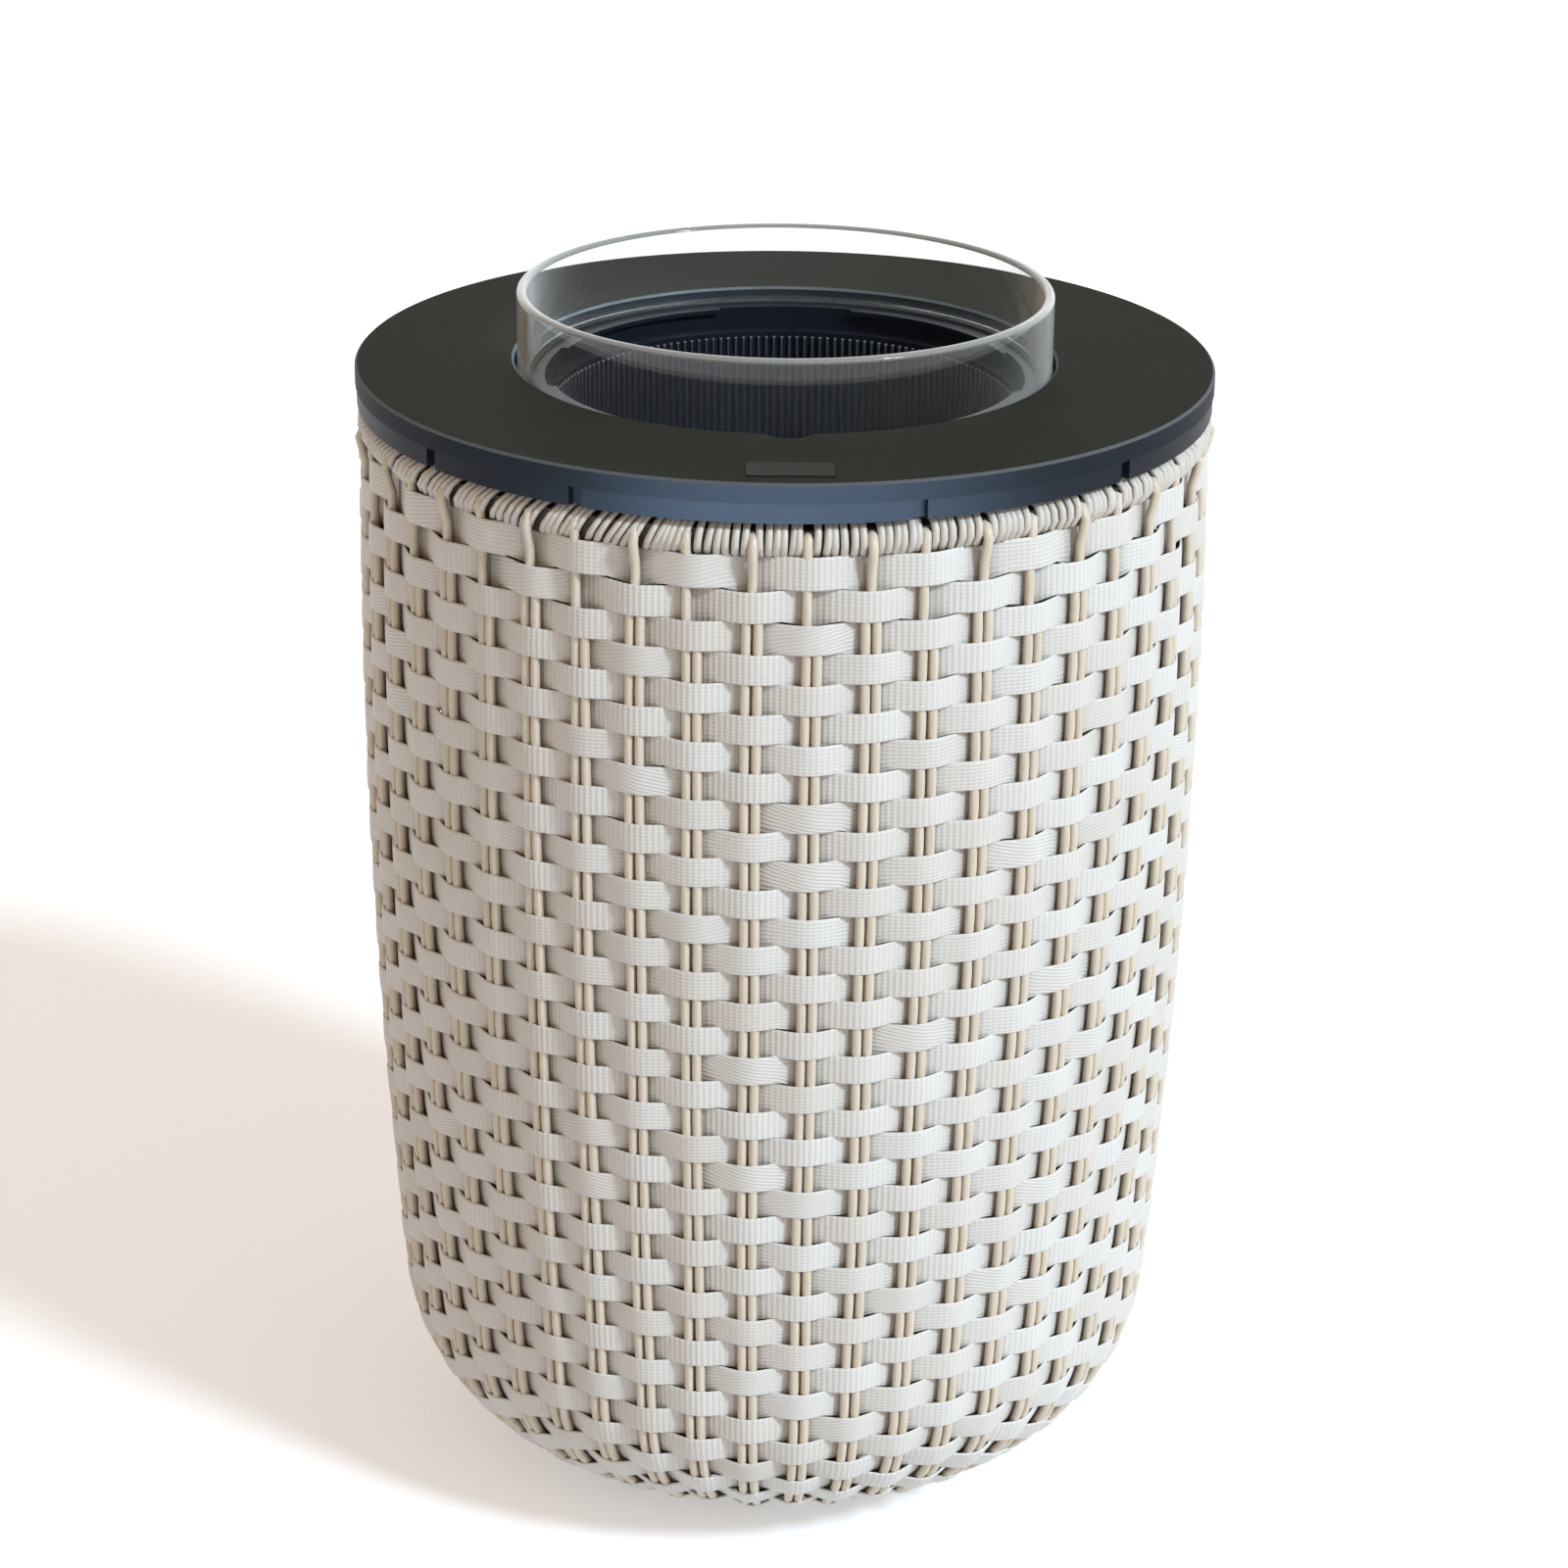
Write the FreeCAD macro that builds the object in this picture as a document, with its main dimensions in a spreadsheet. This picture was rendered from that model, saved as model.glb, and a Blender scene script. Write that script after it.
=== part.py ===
import FreeCAD, Part
import Sketcher
import math
import os

# Cooler table: a woven drum on a metal frame carries a lift-off ring-shaped top.
# An insulated ice bucket hangs in the top's hole, and a clear glass collar stands
# on the bucket's flange. +Z is up, the floor is at zero, and the front is at -Y.
# All sizes are millimetres.

SIZES = {
    # Table top, measured down from its upper face
    "table_height": (530.0, "upper face of the top over the floor"),
    "table_rad": (190.0, "outer radius of the top"),
    "top_thick": (8.6, "upper board"),
    "under_thick": (8.4, "notched ring under the board"),
    "under_rad": (189.4, "outer radius of the notched ring"),
    "edge_chamfer": (1.1, "broken edge of the board"),
    "hole_rad": (120.0, "hole in the board"),
    "ledge_rad": (112.0, "hole in the notched ring, which leaves a ledge"),
    "notch_wide": (6.0, "width of an edge notch"),
    "notch_reach": (186.0, "radius where an edge notch ends"),
    "finger_rad": (11.0, "radius of the finger scallop"),
    "finger_centre": (116.2, "centre of the finger scallop"),
    # Bare plate set in the board
    "badge_wide": (36.0, "plate width"),
    "badge_deep": (17.8, "plate depth"),
    "badge_corner": (1.5, "plate corner radius"),
    "badge_centre": (171.4, "plate centre from the axis"),
    "badge_sunk": (0.8, "depth of the plate's seat"),
    "badge_proud": (0.5, "height of the plate over the board"),
    "badge_play": (0.15, "gap round the plate"),
    # Ring that centres the top in the drum
    "spigot_rad": (168.5, "outer radius"),
    "spigot_wall": (3.0, "wall and flange thickness"),
    "spigot_drop": (17.0, "height"),
    "spigot_foot": (150.0, "inner radius of its flange"),
    # Screws and pads of the top
    "top_screw_pitch": (131.0, "radius of the board's screw circle"),
    "spigot_screw_pitch": (157.0, "radius of the centring ring's screw circle"),
    "shank_rad": (2.0, "screw shank"),
    "shank_hole": (2.1, "hole for a screw shank"),
    "head_rad": (4.0, "screw head"),
    "head_hole": (4.2, "counterbore for a screw head"),
    "head_thick": (2.4, "screw head thickness"),
    "socket_rad": (1.5, "hexagon socket, to a corner"),
    "socket_deep": (1.4, "hexagon socket depth"),
    "top_screw_bite": (5.6, "screw length in the board"),
    "spigot_screw_bite": (4.6, "screw length in the notched ring"),
    "pad_rad": (3.0, "rest pad radius"),
    "pad_hole": (3.1, "seat of a rest pad"),
    "pad_pitch": (180.2, "radius of the pad circle"),
    "pad_sunk": (0.9, "depth of a pad's seat"),
    "rest_gap": (0.3, "gap between the top and the woven border"),
    # Woven border and the hoop it wraps
    "border_out": (189.5, "outer radius of the border"),
    "border_in": (171.0, "inner radius of the border"),
    "border_tall": (17.2, "height of the border"),
    "border_round": (5.8, "rounding of the border"),
    "hoop_out": (185.2, "outer radius of the rim hoop"),
    "hoop_in": (175.2, "inner radius of the rim hoop"),
    "wrap_thick": (4.2, "thickness of the wrapping"),
    "hoop_tall": (11.0, "height of the rim hoop"),
    # Woven drum
    "base_lift": (11.0, "underside of the drum over the floor"),
    "side_top_rad": (188.8, "outer radius of the wall at its top"),
    "side_bow": (3800.0, "radius of the wall's slight vertical bow"),
    "side_low": (88.2, "height over the floor where the corner starts"),
    "corner_rad": (84.0, "radius of the rounded corner at the base"),
    "weave_thick": (6.2, "thickness of the weave"),
    "row_pitch": (13.0, "distance from one row of the weave to the next"),
    "window_tall": (12.4, "height of a window where a stake shows between two bands"),
    "window_turn": (5.0, "degrees that a window spans"),
    "window_deep": (2.0, "depth of a window"),
    "frame_gap": (0.2, "gap between the weave and the frame"),
    "joint_gap": (0.1, "gap between pieces that are bonded or welded"),
    "star_gap": (0.4, "gap at the ends of the crossed bars"),
    # Frame of flat bar
    "bar_thick": (3.0, "thickness of the frame's flat bar"),
    "bar_wide": (12.0, "width of the frame's flat bar"),
    "upper_waist": (360.0, "underside of the upper waist hoop"),
    "lower_waist": (200.0, "underside of the lower waist hoop"),
    "base_hoop_out": (93.0, "outer radius of the base hoop"),
    "base_hoop_in": (77.0, "inner radius of the base hoop"),
    # Glides under the drum
    "glide_rad": (11.0, "glide radius"),
    "glide_pitch": (85.0, "radius of the glide circle"),
    "glide_chamfer": (1.5, "broken edge of a glide"),
    "glide_head_deep": (4.4, "depth of the counterbore in a glide"),
    "glide_head_lift": (2.0, "glide screw head over the floor"),
    "nut_rad": (4.4, "nut, to a corner"),
    "nut_thick": (3.2, "nut thickness"),
    # Ice bucket
    "flange_rad": (119.4, "outer radius of the flange"),
    "flange_thick": (2.5, "flange thickness"),
    "neck_in": (106.5, "inner radius of the smooth neck"),
    "neck_out": (108.5, "outer radius of the smooth neck"),
    "neck_deep": (20.5, "bottom of the neck under the top"),
    "well_in": (103.6, "inner radius of the ribbed well"),
    "well_out": (105.5, "outer radius of the ribbed well"),
    "well_deep": (215.0, "floor of the well under the top"),
    "well_floor": (3.0, "floor thickness"),
    "well_round": (14.0, "rounding of the well's floor"),
    "lug_in": (103.6, "inner radius of the lugs in the neck"),
    "lug_thick": (2.0, "thickness of the lugs"),
    "lug_span": (56.0, "degrees that one lug spans"),
    "shell_in": (109.2, "inner radius of the outer shell"),
    "shell_out": (111.2, "outer radius of the outer shell"),
    "shell_floor": (2.5, "floor thickness of the outer shell"),
    "bucket_deep": (228.5, "underside of the bucket under the top"),
    "shell_round": (9.0, "rounding of the shell's floor"),
    # Seal and glass collar
    "seal_in": (111.5, "inner radius of the seal"),
    "seal_out": (119.2, "outer radius of the seal"),
    "seal_thick": (1.0, "seal thickness"),
    "glass_out": (118.5, "outer radius of the glass"),
    "glass_in": (114.0, "inner radius of the glass"),
    "glass_up": (31.0, "glass over the top"),
    "glass_rim": (2.1, "rounding of the glass rim"),
    "glass_foot": (1.0, "rounding of the glass foot"),
}

NOTCH_ANGLES = (-51.0, -26.5, 17.0, 48.5)   # degrees from the front, repeated opposite
TOP_SCREWS = 8
SPIGOT_SCREWS = 6
REST_PADS = 6
UPRIGHTS = 8
STAKES = 48            # upright pairs of strands that the bands are woven round
ROWS = 31              # rows of bands down the wall
STAKE_TURN = 3.75      # degrees from the front to the stakes on either side
GLIDES = 4
LUGS = 4
MARK_TURN = 0.9        # degrees from the front to the plate and the finger scallop
FRONT = -90.0          # degrees from +X

# Heights over the floor, each a sum of the driving dimensions
TOP_FACE = "table_height"
BOARD_UNDER = "table_height - top_thick"
TABLE_UNDER = "table_height - top_thick - under_thick"
BORDER_TOP = TABLE_UNDER + " - rest_gap"
BORDER_FOOT = BORDER_TOP + " - border_tall"
HOOP_TOP = BORDER_TOP + " - wrap_thick"
HOOP_FOOT = HOOP_TOP + " - hoop_tall"
BASE_INNER = "base_lift + weave_thick"
FRAME_FLOOR = BASE_INNER + " + frame_gap"
FLANGE_TOP = BOARD_UNDER + " + flange_thick"
SEAL_TOP = FLANGE_TOP + " + seal_thick"
NECK_FOOT = "table_height - neck_deep"
WELL_FLOOR = "table_height - well_deep"
WELL_UNDER = WELL_FLOOR + " - well_floor"
BUCKET_FOOT = "table_height - bucket_deep"
SHELL_FLOOR = BUCKET_FOOT + " + shell_floor"
INNER_ROUND = "shell_round - shell_out + shell_in"

# Pairs of offsets inwards of the wall's outer face
WEAVE = ("0", "weave_thick")
BARS = ("weave_thick + frame_gap", "weave_thick + frame_gap + bar_thick")

document = FreeCAD.newDocument("cooler_table")
sheet = document.addObject("Spreadsheet::Sheet", "sizes")


def fill_sheet():
    """Write every driving dimension to the sheet with its alias and its note."""
    for row, (alias, (number, note)) in enumerate(SIZES.items(), start=1):
        sheet.set("A%d" % row, alias)
        sheet.set("B%d" % row, str(number))
        sheet.set("C%d" % row, note)
        sheet.setAlias("B%d" % row, alias)
    document.recompute()


def amount(words):
    """Number that a sum such as 'table_height - top_thick' stands for."""
    total = 0.0
    sign = 1.0
    for word in words.split():
        if word == "-":
            sign = -1.0
        elif word == "+":
            sign = 1.0
        else:
            total += sign * (sheet.get(word) if word in SIZES else float(word))
    return total


def bound(words):
    """The same sum, as an expression that reads the sheet."""
    return " ".join("sizes." + word if word in SIZES else word for word in words.split())


def point(across, up):
    """Point of a sketch from two sums."""
    return FreeCAD.Vector(amount(across), amount(up), 0)


def new_body(label):
    """Empty body that carries its piece's name."""
    body = document.addObject("PartDesign::Body", label)
    body.Label = label
    body.AllowCompound = True
    return body


def origin_feature(body, role):
    """Plane or axis of a body's own origin."""
    return next(item for item in body.Origin.OriginFeatures if item.Role == role)


def new_sketch(body, name, role="XY_Plane", height=None, turn=0.0):
    """Sketch on one of the body's planes, lifted to a height and turned about Z."""
    sketch = body.newObject("Sketcher::SketchObject", body.Label + "_" + name)
    sketch.AttachmentSupport = [(origin_feature(body, role), "")]
    sketch.MapMode = "FlatFace"
    if height is not None:
        spin = FreeCAD.Rotation(FreeCAD.Vector(0, 0, 1), turn)
        sketch.AttachmentOffset = FreeCAD.Placement(FreeCAD.Vector(0, 0, amount(height)), spin)
        sketch.setExpression("AttachmentOffset.Base.z", bound(height))
    return sketch


def fix_point(sketch, edge, end, across, up):
    """Hold one end of an edge at a place given by two sums."""
    for kind, words in (("DistanceX", across), ("DistanceY", up)):
        index = sketch.addConstraint(Sketcher.Constraint(kind, -1, 1, edge, end, amount(words)))
        sketch.setExpression("Constraints[%d]" % index, bound(words))


def hold(sketch, kind, words, *where):
    """Add a constraint whose size is a sum."""
    index = sketch.addConstraint(Sketcher.Constraint(kind, *where, amount(words)))
    sketch.setExpression("Constraints[%d]" % index, bound(words))


def outline(sketch, corners):
    """Closed outline of straight lines through corners that are pairs of sums."""
    first = sketch.GeometryCount
    count = len(corners)
    for index in range(count):
        start = point(*corners[index])
        end = point(*corners[(index + 1) % count])
        sketch.addGeometry(Part.LineSegment(start, end), False)
    for index in range(count):
        edge = first + index
        following = first + (index + 1) % count
        sketch.addConstraint(Sketcher.Constraint("Coincident", edge, 2, following, 1))
        fix_point(sketch, edge, 1, *corners[index])


def spin_up(body, sketch, name, degrees=360.0):
    """Revolve a sketch about the upright axis."""
    feature = body.newObject("PartDesign::Revolution", body.Label + "_" + name)
    feature.Profile = sketch
    feature.ReferenceAxis = (sketch, ["V_Axis"])
    feature.Angle = degrees
    body.Tip = feature
    return feature


def ring(label, corners):
    """Body turned from one closed outline of radii and heights."""
    body = new_body(label)
    sketch = new_sketch(body, "profile", "XZ_Plane")
    outline(sketch, corners)
    spin_up(body, sketch, "turned")
    document.recompute()
    return body


def circle(sketch, centre, radius):
    """Circle whose centre lies on the sketch's first axis."""
    middle = FreeCAD.Vector(amount(centre), 0, 0)
    edge = sketch.addGeometry(Part.Circle(middle, FreeCAD.Vector(0, 0, 1), amount(radius)), False)
    sketch.addConstraint(Sketcher.Constraint("PointOnObject", edge, 3, -1))
    hold(sketch, "DistanceX", centre, -1, 1, edge, 3)
    hold(sketch, "Radius", radius, edge)


def hexagon(sketch, centre, corner):
    """Hexagon round a circle on the sketch's first axis, with a corner radius."""
    middle = amount(centre)
    reach = amount(corner)
    turns = [math.radians(60 * step) for step in range(6)]
    corners = [FreeCAD.Vector(middle + reach * math.cos(turn), reach * math.sin(turn), 0)
               for turn in turns]
    for index in range(6):
        sketch.addGeometry(Part.LineSegment(corners[index], corners[(index + 1) % 6]), False)
    guide = sketch.addGeometry(Part.Circle(FreeCAD.Vector(middle, 0, 0),
                                           FreeCAD.Vector(0, 0, 1), reach), True)
    sketch.addConstraint(Sketcher.Constraint("PointOnObject", guide, 3, -1))
    sketch.addConstraint(Sketcher.Constraint("PointOnObject", 0, 1, -1))
    for index in range(6):
        sketch.addConstraint(Sketcher.Constraint("Coincident", index, 2, (index + 1) % 6, 1))
        sketch.addConstraint(Sketcher.Constraint("PointOnObject", index, 1, guide))
    for index in range(5):
        sketch.addConstraint(Sketcher.Constraint("Equal", index, index + 1))
    hold(sketch, "DistanceX", centre, -1, 1, guide, 3)
    hold(sketch, "Radius", corner, guide)


def box_outline(sketch, near, far, half):
    """Rectangle from one radius to another along the first axis, with a half width."""
    corners = [FreeCAD.Vector(amount(near), -amount(half), 0),
               FreeCAD.Vector(amount(far), -amount(half), 0),
               FreeCAD.Vector(amount(far), amount(half), 0),
               FreeCAD.Vector(amount(near), amount(half), 0)]
    for index in range(4):
        sketch.addGeometry(Part.LineSegment(corners[index], corners[(index + 1) % 4]), False)
        kind = "Horizontal" if index % 2 == 0 else "Vertical"
        sketch.addConstraint(Sketcher.Constraint(kind, index))
    for index in range(4):
        sketch.addConstraint(Sketcher.Constraint("Coincident", index, 2, (index + 1) % 4, 1))
    hold(sketch, "DistanceX", near, -1, 1, 0, 1)
    hold(sketch, "DistanceX", far, -1, 1, 0, 2)
    hold(sketch, "DistanceY", half, 0, 1, -1, 1)
    hold(sketch, "DistanceY", half, -1, 1, 3, 1)


def grow(body, sketch, name, length):
    """Pad a sketch upwards."""
    feature = body.newObject("PartDesign::Pad", body.Label + "_" + name)
    feature.Profile = sketch
    feature.Length = amount(length)
    feature.setExpression("Length", bound(length))
    body.Tip = feature
    return feature


def cut(body, sketch, name, length, upward=True):
    """Pocket a sketch, upwards unless told otherwise, and prove that it cut."""
    before = body.Shape.Volume
    feature = body.newObject("PartDesign::Pocket", body.Label + "_" + name)
    feature.Profile = sketch
    feature.Length = amount(length)
    feature.setExpression("Length", bound(length))
    feature.Reversed = upward
    body.Tip = feature
    document.recompute()
    if body.Shape.Volume >= before - 0.01:
        raise RuntimeError(feature.Label + " cut nothing")
    return feature


def repeat(body, features, name, count, degrees=360.0):
    """Repeat features about the upright axis, or the whole body where none are given."""
    pattern = body.newObject("PartDesign::PolarPattern", body.Label + "_" + name)
    if features:
        pattern.Originals = features
    else:
        pattern.TransformMode = "Whole shape"
    pattern.Axis = (origin_feature(body, "Z_Axis"), [""])
    pattern.Angle = degrees
    pattern.Occurrences = count
    body.Tip = pattern
    document.recompute()
    return pattern


def round_edges(body, kind, size, where, name, centre="0"):
    """Fillet or chamfer the circular edges at the given pairs of radius and height.

    Their centres lie on the upright axis, or at a given distance from it.
    """
    base = body.Tip
    wanted = [(amount(radius), amount(height)) for radius, height in where]
    names = []
    for index, edge in enumerate(base.Shape.Edges, start=1):
        if not isinstance(edge.Curve, Part.Circle):
            continue
        here = (edge.Curve.Radius, edge.Curve.Center.z)
        offset = math.hypot(edge.Curve.Center.x, edge.Curve.Center.y) - amount(centre)
        if abs(offset) < 0.01 and any(math.dist(here, there) < 0.01 for there in wanted):
            names.append("Edge%d" % index)
    feature = body.newObject("PartDesign::" + kind, body.Label + "_" + name)
    feature.Base = (base, names)
    prop = "Radius" if kind == "Fillet" else "Size"
    setattr(feature, prop, amount(size))
    feature.setExpression(prop, bound(size))
    body.Tip = feature
    document.recompute()
    return feature


def hole_circle(body, name, height, pitch, radius, depth, count, upward=True):
    """Round holes on a pitch circle."""
    sketch = new_sketch(body, name + "_sketch", "XY_Plane", height)
    circle(sketch, pitch, radius)
    hole = cut(body, sketch, name, depth, upward)
    repeat(body, [hole], name + "_circle", count)


def turned(body, degrees):
    """Turn a finished body about the upright axis."""
    spin = FreeCAD.Rotation(FreeCAD.Vector(0, 0, 1), degrees)
    body.Placement = FreeCAD.Placement(FreeCAD.Vector(0, 0, 0), spin)


# Curve of the woven wall

def wall_curve():
    """Centre of the bow, and centre and start angle of the corner, of the outer wall."""
    top = point("side_top_rad", BORDER_FOOT)
    bow = amount("side_bow")
    corner = amount("corner_rad")
    base = amount("base_lift")
    corner_up = base + corner
    low = amount("side_low")
    lean = math.asin((corner_up - low) / corner)
    bow_up = low + bow * math.sin(lean)
    across = top.x - math.sqrt(bow ** 2 - (top.y - bow_up) ** 2)
    low_across = across + bow * math.cos(lean)
    corner_across = low_across - corner * math.cos(lean)
    return FreeCAD.Vector(across, bow_up, 0), FreeCAD.Vector(corner_across, corner_up, 0), lean


def wall_radius(height):
    """Outer radius of the woven wall at a height over the floor."""
    bow_centre, corner_centre, lean = wall_curve()
    if height >= amount("side_low"):
        return bow_centre.x + math.sqrt(amount("side_bow") ** 2 - (height - bow_centre.y) ** 2)
    return corner_centre.x + math.sqrt(amount("corner_rad") ** 2
                                       - (height - corner_centre.y) ** 2)


def arc_strip(sketch, centre, radius, offsets, angles):
    """Closed strip between two arcs about one centre, each an offset inwards of a radius.

    Returns the outer arc and the lines that close the strip's two ends.
    """
    up = FreeCAD.Vector(0, 0, 1)
    arcs = []
    for offset, (start, end) in zip(offsets, angles):
        reach = amount(radius) - amount(offset)
        arc = Part.ArcOfCircle(Part.Circle(centre, up, reach), start, end)
        arcs.append(sketch.addGeometry(arc, False))
    caps = []
    for end in (1, 2):
        line = Part.LineSegment(sketch.getPoint(arcs[0], end), sketch.getPoint(arcs[1], end))
        caps.append(sketch.addGeometry(line, False))
        sketch.addConstraint(Sketcher.Constraint("Coincident", caps[-1], 1, arcs[0], end))
        sketch.addConstraint(Sketcher.Constraint("Coincident", caps[-1], 2, arcs[1], end))
    sketch.addConstraint(Sketcher.Constraint("Coincident", arcs[0], 3, arcs[1], 3))
    sketch.addConstraint(Sketcher.Constraint("DistanceX", -1, 1, arcs[0], 3, centre.x))
    sketch.addConstraint(Sketcher.Constraint("DistanceY", -1, 1, arcs[0], 3, centre.y))
    for arc, offset in zip(arcs, offsets):
        hold(sketch, "Radius", " - ".join([radius] + offset.split(" + ")), arc)
    return arcs[0], caps


def side_strip(sketch, top, offsets):
    """Strip that follows the wall's bow from a height down to where the corner starts."""
    centre, _, lean = wall_curve()
    angles = []
    for offset in offsets:
        bow = amount("side_bow") - amount(offset)
        angles.append((-lean, math.asin((amount(top) - centre.y) / bow)))
    outer, caps = arc_strip(sketch, centre, "side_bow", offsets, angles)
    sketch.addConstraint(Sketcher.Constraint("PointOnObject", outer, 3, caps[0]))
    hold(sketch, "DistanceY", strip_foot(offsets[0]), -1, 1, outer, 1)
    sketch.addConstraint(Sketcher.Constraint("Horizontal", caps[1]))
    hold(sketch, "DistanceY", top, -1, 1, outer, 2)


def corner_strip(sketch, offsets):
    """Strip that follows the rounded corner from the wall's side down to the base."""
    _, centre, lean = wall_curve()
    angles = [(-math.pi / 2, -lean)] * len(offsets)
    outer, caps = arc_strip(sketch, centre, "corner_rad", offsets, angles)
    sketch.addConstraint(Sketcher.Constraint("Vertical", caps[0]))
    sketch.addConstraint(Sketcher.Constraint("Vertical", outer, 3, outer, 1))
    sketch.addConstraint(Sketcher.Constraint("PointOnObject", outer, 3, caps[1]))
    hold(sketch, "DistanceY", strip_foot(offsets[0]), -1, 1, outer, 2)


def strip_foot(offset):
    """Height where the corner starts, on the face at an offset inwards of the wall's face."""
    lean = wall_curve()[2]
    return "side_low + %.6f" % (amount(offset) * math.sin(lean))


# Drum

def row_heights(first):
    """Middle of every second row, on the wall's outer face, from the border down."""
    centre = wall_curve()[0]
    bow = amount("side_bow")
    middle = bow - amount("weave_thick") / 2
    rise = math.asin((amount(BORDER_FOOT) - centre.y) / middle)
    turns = [rise - (row + 0.5) * amount("row_pitch") / middle for row in range(first, ROWS, 2)]
    return [centre.y + bow * math.sin(turn) for turn in turns]


def cut_windows(body, name, first, turn):
    """Windows in every second row of the wedge, where one of its two stakes shows."""
    sketch = new_sketch(body, name + "_sketch", "XZ_Plane")
    spin = FreeCAD.Rotation(FreeCAD.Vector(0, 1, 0), turn)
    sketch.AttachmentOffset = FreeCAD.Placement(FreeCAD.Vector(0, 0, 0), spin)
    half = amount("window_tall") / 2
    for height in row_heights(first):
        low = "%.3f" % (height - half)
        high = low + " + window_tall"
        outer = "%.3f" % (wall_radius(height) + 1)
        floor = "%.3f - window_deep" % wall_radius(height)
        outline(sketch, [(floor, low), (outer, low), (outer, high), (floor, high)])
    groove = body.newObject("PartDesign::Groove", body.Label + "_" + name)
    groove.Profile = sketch
    groove.ReferenceAxis = (sketch, ["V_Axis"])
    groove.Angle = amount("window_turn")
    groove.setExpression("Angle", bound("window_turn"))
    groove.Midplane = True
    body.Tip = groove


def make_woven_wall():
    """Woven side of the drum, with a window wherever a stake shows between two bands.

    A wedge with the windows of two stakes is made first, then repeated whole.
    """
    body = new_body("woven_wall")
    sketch = new_sketch(body, "profile", "XZ_Plane")
    side_strip(sketch, BORDER_FOOT, WEAVE)
    wedge = spin_up(body, sketch, "wedge", 720.0 / STAKES)
    wedge.Midplane = True
    document.recompute()
    cut_windows(body, "even_windows", 0, -STAKE_TURN)
    cut_windows(body, "odd_windows", 1, STAKE_TURN)
    repeat(body, [], "wedges", STAKES // 2)
    return body


def make_woven_corner():
    """Woven rounded corner between the side and the base."""
    body = new_body("woven_corner")
    sketch = new_sketch(body, "profile", "XZ_Plane")
    corner_strip(sketch, WEAVE)
    spin_up(body, sketch, "turned")
    return body


def make_woven_base():
    """Woven disc that closes the drum below, with the glide screws' holes."""
    body = new_body("woven_base")
    sketch = new_sketch(body, "disc", "XY_Plane", "base_lift")
    radius = wall_curve()[1].x - amount("joint_gap")
    middle = FreeCAD.Vector(0, 0, 0)
    disc = sketch.addGeometry(Part.Circle(middle, FreeCAD.Vector(0, 0, 1), radius), False)
    sketch.addConstraint(Sketcher.Constraint("Coincident", disc, 3, -1, 1))
    sketch.addConstraint(Sketcher.Constraint("Radius", disc, radius))
    grow(body, sketch, "thickness", "weave_thick")
    document.recompute()
    hole_circle(body, "screw", "base_lift", "glide_pitch", "shank_hole", "weave_thick", GLIDES)
    turned(body, 45)
    return body


def make_woven_border():
    """Wrapped border round the rim hoop, open below where the uprights enter."""
    body = ring("woven_border", [
        ("border_in", BORDER_FOOT), ("hoop_in", BORDER_FOOT), ("hoop_in", HOOP_TOP),
        ("hoop_out", HOOP_TOP), ("hoop_out", BORDER_FOOT), ("border_out", BORDER_FOOT),
        ("border_out", BORDER_TOP), ("border_in", BORDER_TOP)])
    round_edges(body, "Fillet", "border_round",
                [("border_out", BORDER_TOP), ("border_in", BORDER_TOP)], "rounded")
    return body


def make_rim_hoop():
    """Square hoop that carries the border and the top."""
    inner = "hoop_in + joint_gap"
    outer = "hoop_out - joint_gap"
    return ring("rim_hoop", [(inner, HOOP_FOOT), (outer, HOOP_FOOT),
                             (outer, HOOP_TOP), (inner, HOOP_TOP)])


def make_waist_hoop(label, height):
    """Flat hoop that ties the uprights together on their inner side."""
    inset = amount("weave_thick + frame_gap + bar_thick + joint_gap")
    radius = "%.3f" % (wall_radius(amount(height)) - inset)
    inner = radius + " - bar_thick"
    top = height + " + bar_wide"
    return ring(label, [(inner, height), (radius, height), (radius, top), (inner, top)])


def make_base_hoop():
    """Flat hoop inside the drum's base, drilled for the glide screws."""
    body = ring("base_hoop", [
        ("base_hoop_in", FRAME_FLOOR), ("base_hoop_out", FRAME_FLOOR),
        ("base_hoop_out", FRAME_FLOOR + " + bar_thick"),
        ("base_hoop_in", FRAME_FLOOR + " + bar_thick")])
    hole_circle(body, "screw", FRAME_FLOOR, "glide_pitch", "shank_hole", "bar_thick", GLIDES)
    turned(body, 45)
    return body


def make_uprights():
    """Flat bars that follow the wall's side from the rim hoop down."""
    body = new_body("frame_uprights")
    sketch = new_sketch(body, "profile", "XZ_Plane")
    side_strip(sketch, HOOP_FOOT + " - joint_gap", BARS)
    bar = grow(body, sketch, "bar", "bar_wide")
    bar.Midplane = True
    repeat(body, [bar], "bars", UPRIGHTS)
    return body


def make_feet():
    """Bent feet of the uprights, round the corner to the base hoop."""
    body = new_body("frame_feet")
    sketch = new_sketch(body, "profile", "XZ_Plane")
    corner_strip(sketch, BARS)
    bar = grow(body, sketch, "bar", "bar_wide")
    bar.Midplane = True
    repeat(body, [bar], "bars", UPRIGHTS)
    return body


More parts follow.
